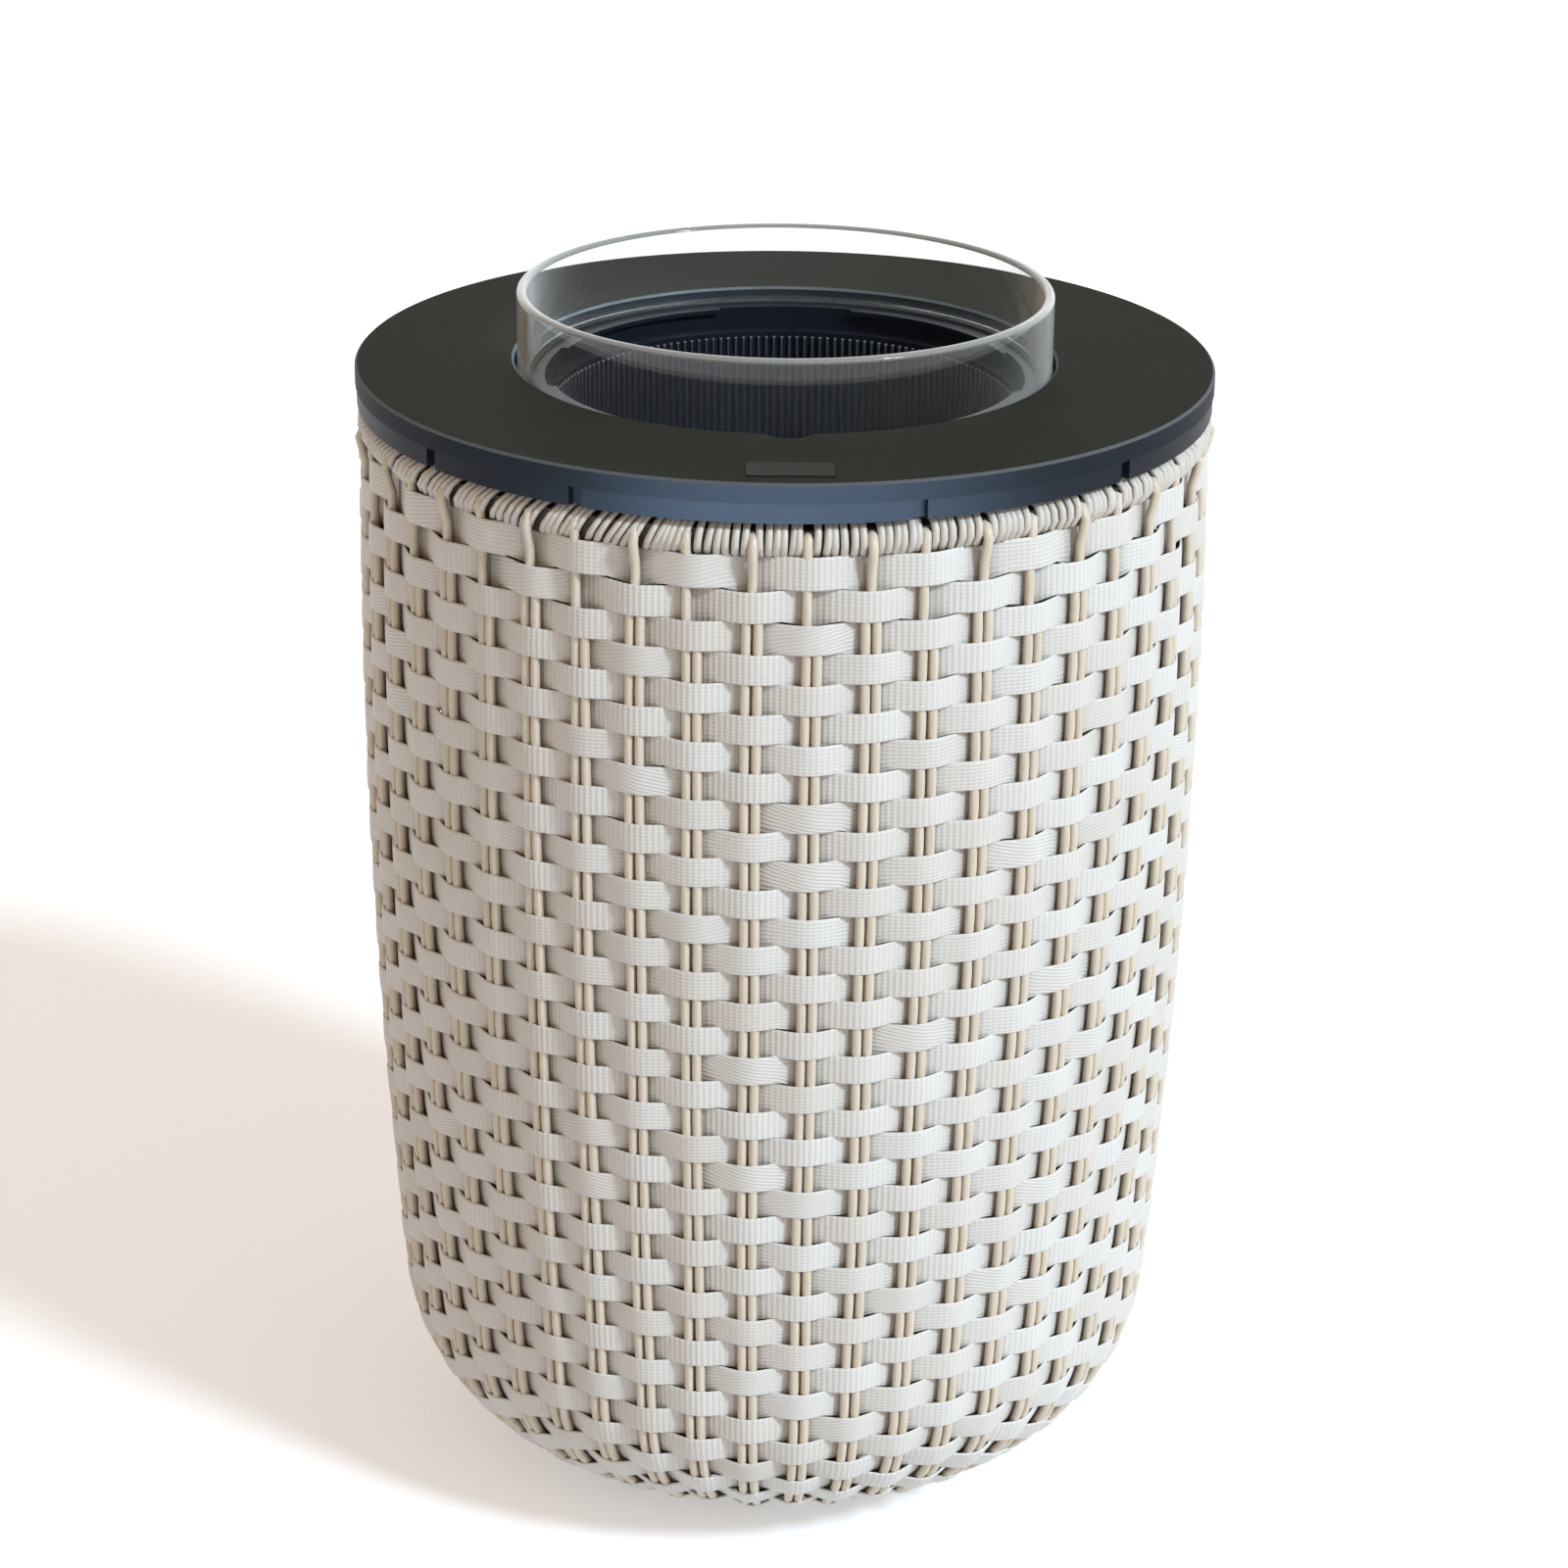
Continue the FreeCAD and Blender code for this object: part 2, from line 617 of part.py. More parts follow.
def make_base_star():
    """Two crossed bars inside the base hoop."""
    body = new_body("base_star")
    reach = "base_hoop_in - star_gap"
    for name, turn in (("first", 0.0), ("second", 90.0)):
        sketch = new_sketch(body, name + "_sketch", "XY_Plane", FRAME_FLOOR, turn)
        half = FreeCAD.Vector(amount(reach), amount("bar_wide") / 2, 0)
        corners = [FreeCAD.Vector(-half.x, -half.y, 0), FreeCAD.Vector(half.x, -half.y, 0),
                   FreeCAD.Vector(half.x, half.y, 0), FreeCAD.Vector(-half.x, half.y, 0)]
        for index in range(4):
            line = Part.LineSegment(corners[index], corners[(index + 1) % 4])
            sketch.addGeometry(line, False)
            kind = "Horizontal" if index % 2 == 0 else "Vertical"
            sketch.addConstraint(Sketcher.Constraint(kind, index))
        for index in range(4):
            sketch.addConstraint(Sketcher.Constraint("Coincident", index, 2, (index + 1) % 4, 1))
        sketch.addConstraint(Sketcher.Constraint("Symmetric", 0, 1, 2, 1, -1, 1))
        hold(sketch, "DistanceX", reach, -1, 1, 1, 1)
        width = sketch.addConstraint(Sketcher.Constraint("DistanceY", 1, 1, 1, 2, amount("bar_wide")))
        sketch.setExpression("Constraints[%d]" % width, bound("bar_wide"))
        grow(body, sketch, name, "bar_thick")
        document.recompute()
    return body


def make_glides():
    """Four plastic glides under the base, bored for their screws from below."""
    body = new_body("base_glides")
    foot = new_sketch(body, "foot", "XY_Plane", "0")
    circle(foot, "glide_pitch", "glide_rad")
    pads = [grow(body, foot, "block", "base_lift")]
    document.recompute()
    shank = new_sketch(body, "shank_sketch", "XY_Plane", "0")
    circle(shank, "glide_pitch", "shank_hole")
    pads.append(cut(body, shank, "shank", "base_lift"))
    head = new_sketch(body, "head_sketch", "XY_Plane", "0")
    circle(head, "glide_pitch", "head_hole")
    pads.append(cut(body, head, "head", "glide_head_deep"))
    repeat(body, pads, "circle", GLIDES)
    round_edges(body, "Chamfer", "glide_chamfer", [("glide_rad", "0")], "broken_edges",
                "glide_pitch")
    turned(body, 45)
    return body


def make_screws(label, count, pitch, head_under, lead, length, turn=0.0):
    """Socket-head screws that enter from below: head, shank and hexagon socket."""
    body = new_body(label)
    head = new_sketch(body, "head_sketch", "XY_Plane", head_under)
    circle(head, pitch, "head_rad")
    features = [grow(body, head, "head", "head_thick")]
    shank = new_sketch(body, "shank_sketch", "XY_Plane", head_under + " + head_thick")
    circle(shank, pitch, "shank_rad")
    features.append(grow(body, shank, "shank", lead + " + " + length))
    document.recompute()
    socket = new_sketch(body, "socket_sketch", "XY_Plane", head_under)
    hexagon(socket, pitch, "socket_rad")
    features.append(cut(body, socket, "socket", "socket_deep"))
    repeat(body, features, "circle", count)
    turned(body, turn)
    return body


def make_glide_nuts():
    """Nuts on top of the base hoop."""
    body = new_body("glide_nuts")
    seat = FRAME_FLOOR + " + bar_thick"
    nut = new_sketch(body, "nut", "XY_Plane", seat)
    hexagon(nut, "glide_pitch", "nut_rad")
    features = [grow(body, nut, "block", "nut_thick")]
    document.recompute()
    bore = new_sketch(body, "bore_sketch", "XY_Plane", seat)
    circle(bore, "glide_pitch", "shank_hole")
    features.append(cut(body, bore, "bore", "nut_thick"))
    repeat(body, features, "circle", GLIDES)
    turned(body, 45)
    return body


# Top

def make_table_ring():
    """Board of the top: round hole, finger scallop, seat for the plate, screw holes."""
    body = ring("table_ring", [("hole_rad", BOARD_UNDER), ("table_rad", BOARD_UNDER),
                               ("table_rad", TOP_FACE), ("hole_rad", TOP_FACE)])
    round_edges(body, "Chamfer", "edge_chamfer",
                [("table_rad", TOP_FACE), ("hole_rad", TOP_FACE)], "broken_edges")
    scallop = new_sketch(body, "scallop_sketch", "XY_Plane", BOARD_UNDER, FRONT + MARK_TURN)
    circle(scallop, "finger_centre", "finger_rad")
    cut(body, scallop, "scallop", "top_thick")
    seat = new_sketch(body, "seat_sketch", "XY_Plane", TOP_FACE + " - badge_sunk",
                      FRONT + MARK_TURN)
    plate_outline(seat, amount("badge_play"))
    cut(body, seat, "seat", "badge_sunk")
    hole_circle(body, "screw", BOARD_UNDER, "top_screw_pitch", "shank_hole",
                "top_screw_bite + joint_gap", TOP_SCREWS)
    return body


def plate_outline(sketch, play):
    """Round-cornered rectangle of the plate, grown by a gap."""
    deep = amount("badge_deep") / 2 + play
    wide = amount("badge_wide") / 2 + play
    corner = amount("badge_corner")
    middle = amount("badge_centre")
    up = FreeCAD.Vector(0, 0, 1)
    sides = []
    for step, (side_x, side_y) in enumerate(((1, 1), (-1, 1), (-1, -1), (1, -1))):
        centre = FreeCAD.Vector(middle + side_x * (deep - corner), side_y * (wide - corner), 0)
        start = step * math.pi / 2
        arc = Part.ArcOfCircle(Part.Circle(centre, up, corner), start, start + math.pi / 2)
        sides.append(sketch.addGeometry(arc, False))
    for step in range(4):
        first = sides[step]
        second = sides[(step + 1) % 4]
        line = Part.LineSegment(sketch.getPoint(first, 2), sketch.getPoint(second, 1))
        edge = sketch.addGeometry(line, False)
        sketch.addConstraint(Sketcher.Constraint("Tangent", first, 2, edge, 1))
        sketch.addConstraint(Sketcher.Constraint("Tangent", edge, 2, second, 1))
        sketch.addConstraint(Sketcher.Constraint("Vertical" if step % 2 else "Horizontal", edge))
    for first, second in zip(sides, sides[1:]):
        sketch.addConstraint(Sketcher.Constraint("Equal", first, second))
    hold(sketch, "Radius", "badge_corner", sides[0])


def make_badge_plate():
    """Bare plate in its seat, a little proud of the board."""
    body = new_body("badge_plate")
    sketch = new_sketch(body, "outline", "XY_Plane", TOP_FACE + " - badge_sunk",
                        FRONT + MARK_TURN)
    plate_outline(sketch, 0.0)
    grow(body, sketch, "plate", "badge_sunk + badge_proud")
    return body


def make_under_ring():
    """Ring under the board: ledge for the bucket, edge notches, seats and holes."""
    body = ring("under_ring", [("ledge_rad", TABLE_UNDER), ("under_rad", TABLE_UNDER),
                               ("under_rad", BOARD_UNDER), ("ledge_rad", BOARD_UNDER)])
    notches = []
    for number, angle in enumerate(NOTCH_ANGLES, start=1):
        sketch = new_sketch(body, "notch_sketch_%d" % number, "XY_Plane", TABLE_UNDER,
                            FRONT + angle)
        box_outline(sketch, "notch_reach", "table_rad", "notch_wide - 3")
        notches.append(cut(body, sketch, "notch_%d" % number, "under_thick"))
    repeat(body, notches, "opposite_notches", 2)
    hole_circle(body, "screw", TABLE_UNDER, "top_screw_pitch", "shank_hole", "under_thick",
                TOP_SCREWS)
    hole_circle(body, "head", TABLE_UNDER, "top_screw_pitch", "head_hole", "head_thick",
                TOP_SCREWS)
    hole_circle(body, "spigot_screw", TABLE_UNDER, "spigot_screw_pitch", "shank_hole",
                "spigot_screw_bite + joint_gap", SPIGOT_SCREWS)
    hole_circle(body, "pad_seat", TABLE_UNDER, "pad_pitch", "pad_hole", "pad_sunk", REST_PADS)
    return body


def make_locating_ring():
    """Angle ring screwed under the top, which centres it inside the woven border."""
    wall = "spigot_rad - spigot_wall"
    flange = TABLE_UNDER + " - spigot_wall"
    foot = TABLE_UNDER + " - spigot_drop"
    body = ring("locating_ring", [
        ("spigot_foot", flange), (wall, flange), (wall, foot), ("spigot_rad", foot),
        ("spigot_rad", TABLE_UNDER), ("spigot_foot", TABLE_UNDER)])
    hole_circle(body, "screw", flange, "spigot_screw_pitch", "shank_hole", "spigot_wall",
                SPIGOT_SCREWS)
    return body


def make_rest_pads():
    """Soft pads that stand a little proud of the ring and rest on the border."""
    body = new_body("rest_pads")
    sketch = new_sketch(body, "disc", "XY_Plane", BORDER_TOP)
    circle(sketch, "pad_pitch", "pad_rad")
    pad = grow(body, sketch, "pad", "rest_gap + pad_sunk")
    repeat(body, [pad], "circle", REST_PADS)
    return body


# Ice bucket and glass

def make_bucket_rim():
    """Flange that hangs in the top, with the lugs that stand into the neck."""
    body = ring("bucket_rim", [("neck_in", BOARD_UNDER), ("flange_rad", BOARD_UNDER),
                               ("flange_rad", FLANGE_TOP), ("neck_in", FLANGE_TOP)])
    lug = new_sketch(body, "lug_sketch", "XZ_Plane")
    outline(lug, [("lug_in", FLANGE_TOP + " - lug_thick"),
                  ("neck_in + joint_gap", FLANGE_TOP + " - lug_thick"),
                  ("neck_in + joint_gap", FLANGE_TOP), ("lug_in", FLANGE_TOP)])
    swept = spin_up(body, lug, "lug", amount("lug_span"))
    swept.setExpression("Angle", bound("lug_span"))
    swept.Midplane = True
    document.recompute()
    repeat(body, [swept], "lugs", LUGS)
    turned(body, 45)
    return body


def make_bucket_liner():
    """Inner bucket under the rim: smooth neck, straight well and rounded floor."""
    body = ring("bucket_liner", [
        ("0", WELL_UNDER), ("well_out", WELL_UNDER), ("well_out", NECK_FOOT),
        ("neck_out", NECK_FOOT), ("neck_out", BOARD_UNDER), ("neck_in", BOARD_UNDER),
        ("neck_in", NECK_FOOT + " + well_floor"), ("well_in", NECK_FOOT + " + well_floor"),
        ("well_in", WELL_FLOOR), ("0", WELL_FLOOR)])
    round_edges(body, "Fillet", "well_round", [("well_in", WELL_FLOOR)], "rounded_floor")
    return body


def make_bucket_shell():
    """Outer shell of the bucket, joined to the liner under its flange."""
    body = ring("bucket_shell", [
        ("0", BUCKET_FOOT), ("shell_out", BUCKET_FOOT), ("shell_out", BOARD_UNDER),
        ("shell_in", BOARD_UNDER), ("shell_in", SHELL_FLOOR), ("0", SHELL_FLOOR)])
    round_edges(body, "Fillet", "shell_round", [("shell_out", BUCKET_FOOT)], "rounded_foot")
    round_edges(body, "Fillet", INNER_ROUND, [("shell_in", SHELL_FLOOR)], "rounded_inside")
    return body


def make_insulation():
    """Foam that fills the space between the liner and the shell."""
    outer = "shell_in - joint_gap"
    well = "well_out + joint_gap"
    neck = "neck_out + joint_gap"
    shoulder = NECK_FOOT + " - joint_gap"
    floor = SHELL_FLOOR + " + joint_gap"
    top = BOARD_UNDER + " - joint_gap"
    under = WELL_UNDER + " - joint_gap"
    body = ring("bucket_insulation", [
        ("0", floor), (outer, floor), (outer, top), (neck, top), (neck, shoulder),
        (well, shoulder), (well, under), ("0", under)])
    round_edges(body, "Fillet", INNER_ROUND, [(outer, floor)], "rounded_foot")
    return body


def make_glass_seal():
    """Flat soft ring on the flange, which the glass stands on."""
    return ring("glass_seal", [("seal_in", FLANGE_TOP), ("seal_out", FLANGE_TOP),
                               ("seal_out", SEAL_TOP), ("seal_in", SEAL_TOP)])


def make_glass_ring():
    """Clear glass ring with a fire-polished round rim."""
    rim = TOP_FACE + " + glass_up"
    body = ring("glass_ring", [("glass_in", SEAL_TOP), ("glass_out", SEAL_TOP),
                               ("glass_out", rim), ("glass_in", rim)])
    round_edges(body, "Fillet", "glass_rim", [("glass_out", rim), ("glass_in", rim)], "rim")
    round_edges(body, "Fillet", "glass_foot",
                [("glass_out", SEAL_TOP), ("glass_in", SEAL_TOP)], "foot")
    return body


def make_all():
    """Every piece of the object, from the floor up."""
    glide_lead = "base_lift - glide_head_deep + weave_thick + frame_gap"
    return [
        make_glides(),
        make_screws("glide_screws", GLIDES, "glide_pitch", "glide_head_lift",
                    glide_lead, "bar_thick + nut_thick", 45),
        make_glide_nuts(),
        make_woven_base(),
        make_woven_corner(),
        make_woven_wall(),
        make_woven_border(),
        make_rim_hoop(),
        make_waist_hoop("upper_waist_hoop", "upper_waist"),
        make_waist_hoop("lower_waist_hoop", "lower_waist"),
        make_base_hoop(),
        make_uprights(),
        make_feet(),
        make_base_star(),
        make_table_ring(),
        make_badge_plate(),
        make_under_ring(),
        make_locating_ring(),
        make_screws("table_screws", TOP_SCREWS, "top_screw_pitch", TABLE_UNDER,
                    "under_thick - head_thick", "top_screw_bite"),
        make_screws("locating_screws", SPIGOT_SCREWS, "spigot_screw_pitch",
                    TABLE_UNDER + " - spigot_wall - head_thick", "spigot_wall",
                    "spigot_screw_bite"),
        make_rest_pads(),
        make_bucket_rim(),
        make_bucket_liner(),
        make_bucket_shell(),
        make_insulation(),
        make_glass_seal(),
        make_glass_ring(),
    ]


def check(pieces):
    """Stop before anything is written if a feature failed or a shape is broken."""
    for item in document.Objects:
        if "Invalid" in item.State or "Error" in item.State:
            raise RuntimeError(item.Label + " failed: " + ", ".join(item.State))
    for piece in pieces:
        if piece.Shape.isNull() or not piece.Shape.isValid():
            raise RuntimeError(piece.Label + " has no valid shape")


def main():
    """Build the document and write one STEP file for each piece."""
    fill_sheet()
    pieces = make_all()
    document.recompute()
    check(pieces)
    os.makedirs("parts", exist_ok=True)
    for piece in pieces:
        piece.Shape.exportStep("parts/%s.step" % piece.Label)
        box = piece.Shape.BoundBox
        print("%-18s solids %2d  volume %9.0f  z %7.2f to %7.2f  radius %7.2f" % (
            piece.Label, len(piece.Shape.Solids), piece.Shape.Volume,
            box.ZMin, box.ZMax, max(box.XMax, box.YMax)))


main()
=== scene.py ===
import math

import bpy
import numpy as np
from bpy.props import FloatProperty, FloatVectorProperty, IntProperty, PointerProperty
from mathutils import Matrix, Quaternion, Vector


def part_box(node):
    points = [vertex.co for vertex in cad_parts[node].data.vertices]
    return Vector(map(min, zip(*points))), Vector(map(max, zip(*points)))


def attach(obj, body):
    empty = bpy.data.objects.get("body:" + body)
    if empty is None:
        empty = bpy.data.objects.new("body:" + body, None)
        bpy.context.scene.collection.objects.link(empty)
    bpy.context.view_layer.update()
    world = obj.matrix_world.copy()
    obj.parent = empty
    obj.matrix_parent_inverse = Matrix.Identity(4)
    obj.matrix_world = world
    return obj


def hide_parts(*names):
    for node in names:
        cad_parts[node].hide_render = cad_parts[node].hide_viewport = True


bl_info = {
    "name": "Cooler Table Dressing",
    "version": (1, 0, 0),
    "blender": (4, 5, 0),
    "location": "View3D > Sidebar > Cooler Table",
    "description": "Weaves the drum and finishes the pieces of a woven cooler table",
    "category": "Add Mesh",
}

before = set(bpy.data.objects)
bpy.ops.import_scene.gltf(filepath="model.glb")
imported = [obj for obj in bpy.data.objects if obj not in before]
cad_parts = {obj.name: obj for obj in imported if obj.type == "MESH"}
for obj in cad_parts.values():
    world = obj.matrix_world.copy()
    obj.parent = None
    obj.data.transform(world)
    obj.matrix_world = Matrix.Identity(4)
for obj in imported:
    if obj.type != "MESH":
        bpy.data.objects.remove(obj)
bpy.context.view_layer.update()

# Sizes of the drum that the weave follows, in metres, as the solids have them
TOP_RADIUS = 0.1888        # outer radius of the wall at its top
SIDE_BOW = 3.8             # radius of the wall's slight bow
CORNER_RADIUS = 0.084      # radius of the rounded corner
WEAVE_THICK = 0.0062       # thickness that the weave fills
WALL_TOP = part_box("woven_wall")[1].z
CORNER_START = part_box("woven_wall")[0].z
BASE_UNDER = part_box("woven_corner")[0].z
GLASS_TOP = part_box("glass_ring")[1].z
FIRST_STAKE = math.radians(3.75)   # from the front, towards +X
FULL_TURN = 2 * math.pi


def linear(code):
    """Linear colour of an sRGB hex value."""
    parts = [(code >> shift & 255) / 255 for shift in (16, 8, 0)]
    return [c / 12.92 if c <= 0.04045 else ((c + 0.055) / 1.055) ** 2.4 for c in parts]


# Settings that a user may change

def size(name, description, default):
    """Length setting in metres."""
    return FloatProperty(name=name, description=description, default=default,
                         min=0.0, precision=5, unit="LENGTH")


def colour(name, description, code):
    """Colour setting."""
    return FloatVectorProperty(name=name, description=description, default=linear(code),
                               subtype="COLOR", size=3, min=0.0, max=1.0)


class CoolerTableSizes(bpy.types.PropertyGroup):
    """Sizes of the weave, the ribs and the glass."""

    stakes: IntProperty(name="Stakes", description="Pairs of upright strands round the drum",
                        default=48, min=8)
    rows: IntProperty(name="Rows", description="Rows of band from the border to the base",
                      default=45, min=3)
    side_rows: IntProperty(name="Side rows", description="Rows before every second stake ends",
                           default=40, min=2)
    row_pitch: size("Row pitch", "Distance from one row to the next", 0.013)
    band_width: size("Band width", "Width of the flat band", 0.0129)
    band_thick: size("Band thickness", "Thickness of the flat band", 0.0011)
    band_swing: size("Band swing", "How far the band swings out and in", 0.00275)
    band_crown: size("Band crown", "How far the band's edges fall back", 0.0002)
    strand_width: size("Strand width", "Diameter of an upright strand", 0.0043)
    pair_offset: size("Pair offset", "Strand centre from the pair's centre", 0.00238)
    strand_swing: size("Strand swing", "How far a strand gives way to a band", 0.0004)
    wraps: IntProperty(name="Wraps", description="Turns of the border between two stakes",
                       default=6, min=1)
    wrap_width: size("Wrap width", "Diameter of the border's strand", 0.0034)
    wrap_gap: size("Wrap gap", "Open slot above each stake", 0.0034)
    ribs: IntProperty(name="Ribs", description="Ribs round the ice bucket's well",
                      default=180, min=12)
    rib_width: size("Rib width", "Width of a rib", 0.0019)
    rib_height: size("Rib height", "How far a rib stands in from the wall", 0.0012)
    glass_rim: size("Glass rim", "Rounding of the glass rim", 0.0021)
    glass_foot: size("Glass foot", "Rounding of the glass foot", 0.001)


class CoolerTableColours(bpy.types.PropertyGroup):
    """Colours of the finishes."""

    band: colour("Band", "Flat polyethylene band", 0xEAEBE9)
    band_warm: colour("Warm band", "Bands from a creamier batch", 0xE2DFD9)
    strand: colour("Strand", "Round polyethylene strand", 0xE2D8C8)
    strand_dark: colour("Strand streak", "Streaks along the strand", 0xCABBA1)
    border: colour("Border strand", "Round strand of the border, a greyer batch", 0xDEDAD2)
    border_dark: colour("Border streak", "Streaks along the border's strand", 0xC2BDB2)
    board: colour("Board", "Face of the solid board", 0x25251F)
    board_edge: colour("Board edge", "Milled edge of the solid board", 0x161B21)
    moulding: colour("Moulding", "Moulded rings under the board", 0x151A21)
    plate: colour("Plate", "Bare plate in the board", 0x25251F)
    bucket: colour("Bucket", "Moulded ice bucket", 0x171C26)
    metal: colour("Frame", "Powder coat of the frame", 0x4A4239)
    foam: colour("Foam", "Rigid foam in the bucket's wall", 0xE6E0C8)
    rubber: colour("Rubber", "Seal and pads", 0x202124)
    nylon: colour("Glides", "Moulded glides", 0x262626)
    steel: colour("Screws", "Stainless screws and nuts", 0xC9C9C6)
    glass: colour("Glass", "Clear glass", 0xF4FAF6)
    floor: colour("Floor", "Pale studio floor", 0xEFF0F2)


# Small tools for meshes

def choose(piece):
    """Select one object alone and make it active."""
    bpy.ops.object.select_all(action="DESELECT")
    piece.select_set(True)
    bpy.context.view_layer.objects.active = piece


def fresh(name):
    """The primitive just added, named and freed of its placement."""
    piece = bpy.context.active_object
    piece.name = name
    piece.data.name = name
    choose(piece)
    bpy.ops.object.transform_apply(location=True, rotation=True, scale=True)
    return piece


def points_of(mesh):
    """Vertex places as an array."""
    flat = np.empty(len(mesh.vertices) * 3, np.float32)
    mesh.vertices.foreach_get("co", flat)
    return flat.reshape(-1, 3).astype(float)


def set_points(mesh, points):
    """Move the vertices to an array of places."""
    mesh.vertices.foreach_set("co", points.astype(np.float32).ravel())
    mesh.update()


def in_edit_mode(piece, *steps):
    """Run edit-mode steps on a piece with everything selected."""
    choose(piece)
    bpy.ops.object.mode_set(mode="EDIT")
    bpy.ops.mesh.select_all(action="SELECT")
    for step in steps:
        step()
    bpy.ops.object.mode_set(mode="OBJECT")


def select_edges(piece, wanted):
    """Select the edges whose two end points pass a test, and nothing else."""
    choose(piece)
    bpy.context.tool_settings.mesh_select_mode = (False, True, False)
    bpy.ops.object.mode_set(mode="EDIT")
    bpy.ops.mesh.select_all(action="DESELECT")
    bpy.ops.object.mode_set(mode="OBJECT")
    mesh = piece.data
    for edge in mesh.edges:
        first, second = (mesh.vertices[index].co for index in edge.vertices)
        edge.select = wanted(first, second)
    bpy.ops.object.mode_set(mode="EDIT")


def modify(piece, kind, **settings):
    """Add a modifier and apply it."""
    choose(piece)
    modifier = piece.modifiers.new(kind.lower(), kind)
    for key, value in settings.items():
        setattr(modifier, key, value)
    bpy.ops.object.modifier_apply(modifier=modifier.name)


def copy_of(piece, name):
    """Copy of a piece with a mesh of its own."""
    made = piece.copy()
    made.data = piece.data.copy()
    made.name = name
    bpy.context.scene.collection.objects.link(made)
    return made


def join(pieces, name):
    """Join pieces into the first one and name it."""
    bpy.ops.object.select_all(action="DESELECT")
    for piece in pieces:
        piece.select_set(True)
    bpy.context.view_layer.objects.active = pieces[0]
    bpy.ops.object.join()
    pieces[0].name = name
    pieces[0].data.name = name
    return pieces[0]


def finish_piece(piece, body, material, nodes=(), smooth=True):
    """Shade a piece, give it its material, and tie it to the frame."""
    choose(piece)
    if smooth:
        bpy.ops.object.shade_smooth()
    else:
        bpy.ops.object.shade_smooth_by_angle(angle=math.radians(35))
    piece.data.materials.clear()
    piece.data.materials.append(material)
    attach(piece, body)
    if nodes:
        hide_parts(*nodes)


def store(mesh, name, values):
    """Keep one number for each vertex as an attribute."""
    attribute = mesh.attributes.new(name, "FLOAT", "POINT")
    attribute.data.foreach_set("value", values.astype(np.float32))


def store_uv(mesh, across, along):
    """Keep a flat map of the surface in millimetres."""
    layer = mesh.uv_layers.active or mesh.uv_layers.new()
    layer.name = "weave"
    layer.data.foreach_set("uv", np.stack([across, along], axis=1).astype(np.float32).ravel())


def corner_vertices(mesh):
    """Vertex of each face corner."""
    found = np.empty(len(mesh.loops), np.int32)
    mesh.loops.foreach_get("vertex_index", found)
    return found


# Line that the weave follows from the border down, round the corner and under the base

def drum_line():
    """Centres, radii and lengths of the weave's middle line."""
    lean = math.asin((BASE_UNDER + CORNER_RADIUS - CORNER_START) / CORNER_RADIUS)
    bow_up = CORNER_START + SIDE_BOW * math.sin(lean)
    bow_across = TOP_RADIUS - math.sqrt(SIDE_BOW ** 2 - (WALL_TOP - bow_up) ** 2)
    corner_across = bow_across + (SIDE_BOW - CORNER_RADIUS) * math.cos(lean)
    bow = SIDE_BOW - WEAVE_THICK / 2
    corner = CORNER_RADIUS - WEAVE_THICK / 2
    rise = math.asin((WALL_TOP - bow_up) / bow)
    return {
        "lean": lean, "bow": bow, "corner": corner, "rise": rise,
        "bow_across": bow_across, "bow_up": bow_up,
        "corner_across": corner_across, "corner_up": BASE_UNDER + CORNER_RADIUS,
        "side": bow * (rise + lean), "bend": corner * (math.pi / 2 - lean),
    }


LINE = drum_line()


def middle_line(distance):
    """Radius, height and outward direction at distances along the line from the border."""
    distance = np.asarray(distance, float)
    beyond_side = distance - LINE["side"]
    beyond_bend = beyond_side - LINE["bend"]
    side_turn = LINE["rise"] - distance / LINE["bow"]
    bend_turn = -LINE["lean"] - beyond_side / LINE["corner"]
    on_side = beyond_side < 0
    on_base = beyond_bend > 0
    turn = np.where(on_side, side_turn, np.where(on_base, -math.pi / 2, bend_turn))
    reach = np.where(on_side, LINE["bow"], LINE["corner"])
    radius = np.where(on_side, LINE["bow_across"], LINE["corner_across"]) + reach * np.cos(turn)
    height = np.where(on_side, LINE["bow_up"], LINE["corner_up"]) + reach * np.sin(turn)
    radius = np.where(on_base, LINE["corner_across"] - beyond_bend, radius)
    return radius, height, np.cos(turn), np.sin(turn)


def on_drum(turn, distance, out):
    """Places on the drum from a turn, a distance down the line and an offset outwards."""
    radius, height, across, up = middle_line(distance)
    reach = radius + out * across
    return np.stack([reach * np.sin(turn), -reach * np.cos(turn), height + out * up], axis=1)


def smooth_step(value):
    """Zero to one, easing in and out."""
    value = np.clip(value, 0, 1)
    return value * value * (3 - 2 * value)


# Materials

def add(tree, kind, settings, inputs):
    """Add a node with its settings, and set or link each of its inputs."""
    made = tree.nodes.new("ShaderNode" + kind)
    for key, value in settings.items():
        setattr(made, key, value)
    for key, value in inputs.items():
        if isinstance(value, bpy.types.NodeSocket):
            tree.links.new(value, made.inputs[key])
        else:
            made.inputs[key].default_value = value
    return made


def finish_of(name, **settings):
    """New material with a Principled shader whose sockets are set."""
    material = bpy.data.materials.new(name)
    material.use_nodes = True
    tree = material.node_tree
    tree.nodes.clear()
    shader = add(tree, "BsdfPrincipled", {}, {
        key.replace("_", " "): value for key, value in settings.items()})
    add(tree, "OutputMaterial", {}, {"Surface": shader.outputs[0]})
    return material, tree, shader


def rgba(value):
    """Colour with full opacity."""
    return (*value, 1.0)


def maths(tree, operation, first, second=0.0, third=0.0):
    """Result of a Math node."""
    return add(tree, "Math", {"operation": operation},
               {0: first, 1: second, 2: third}).outputs[0]


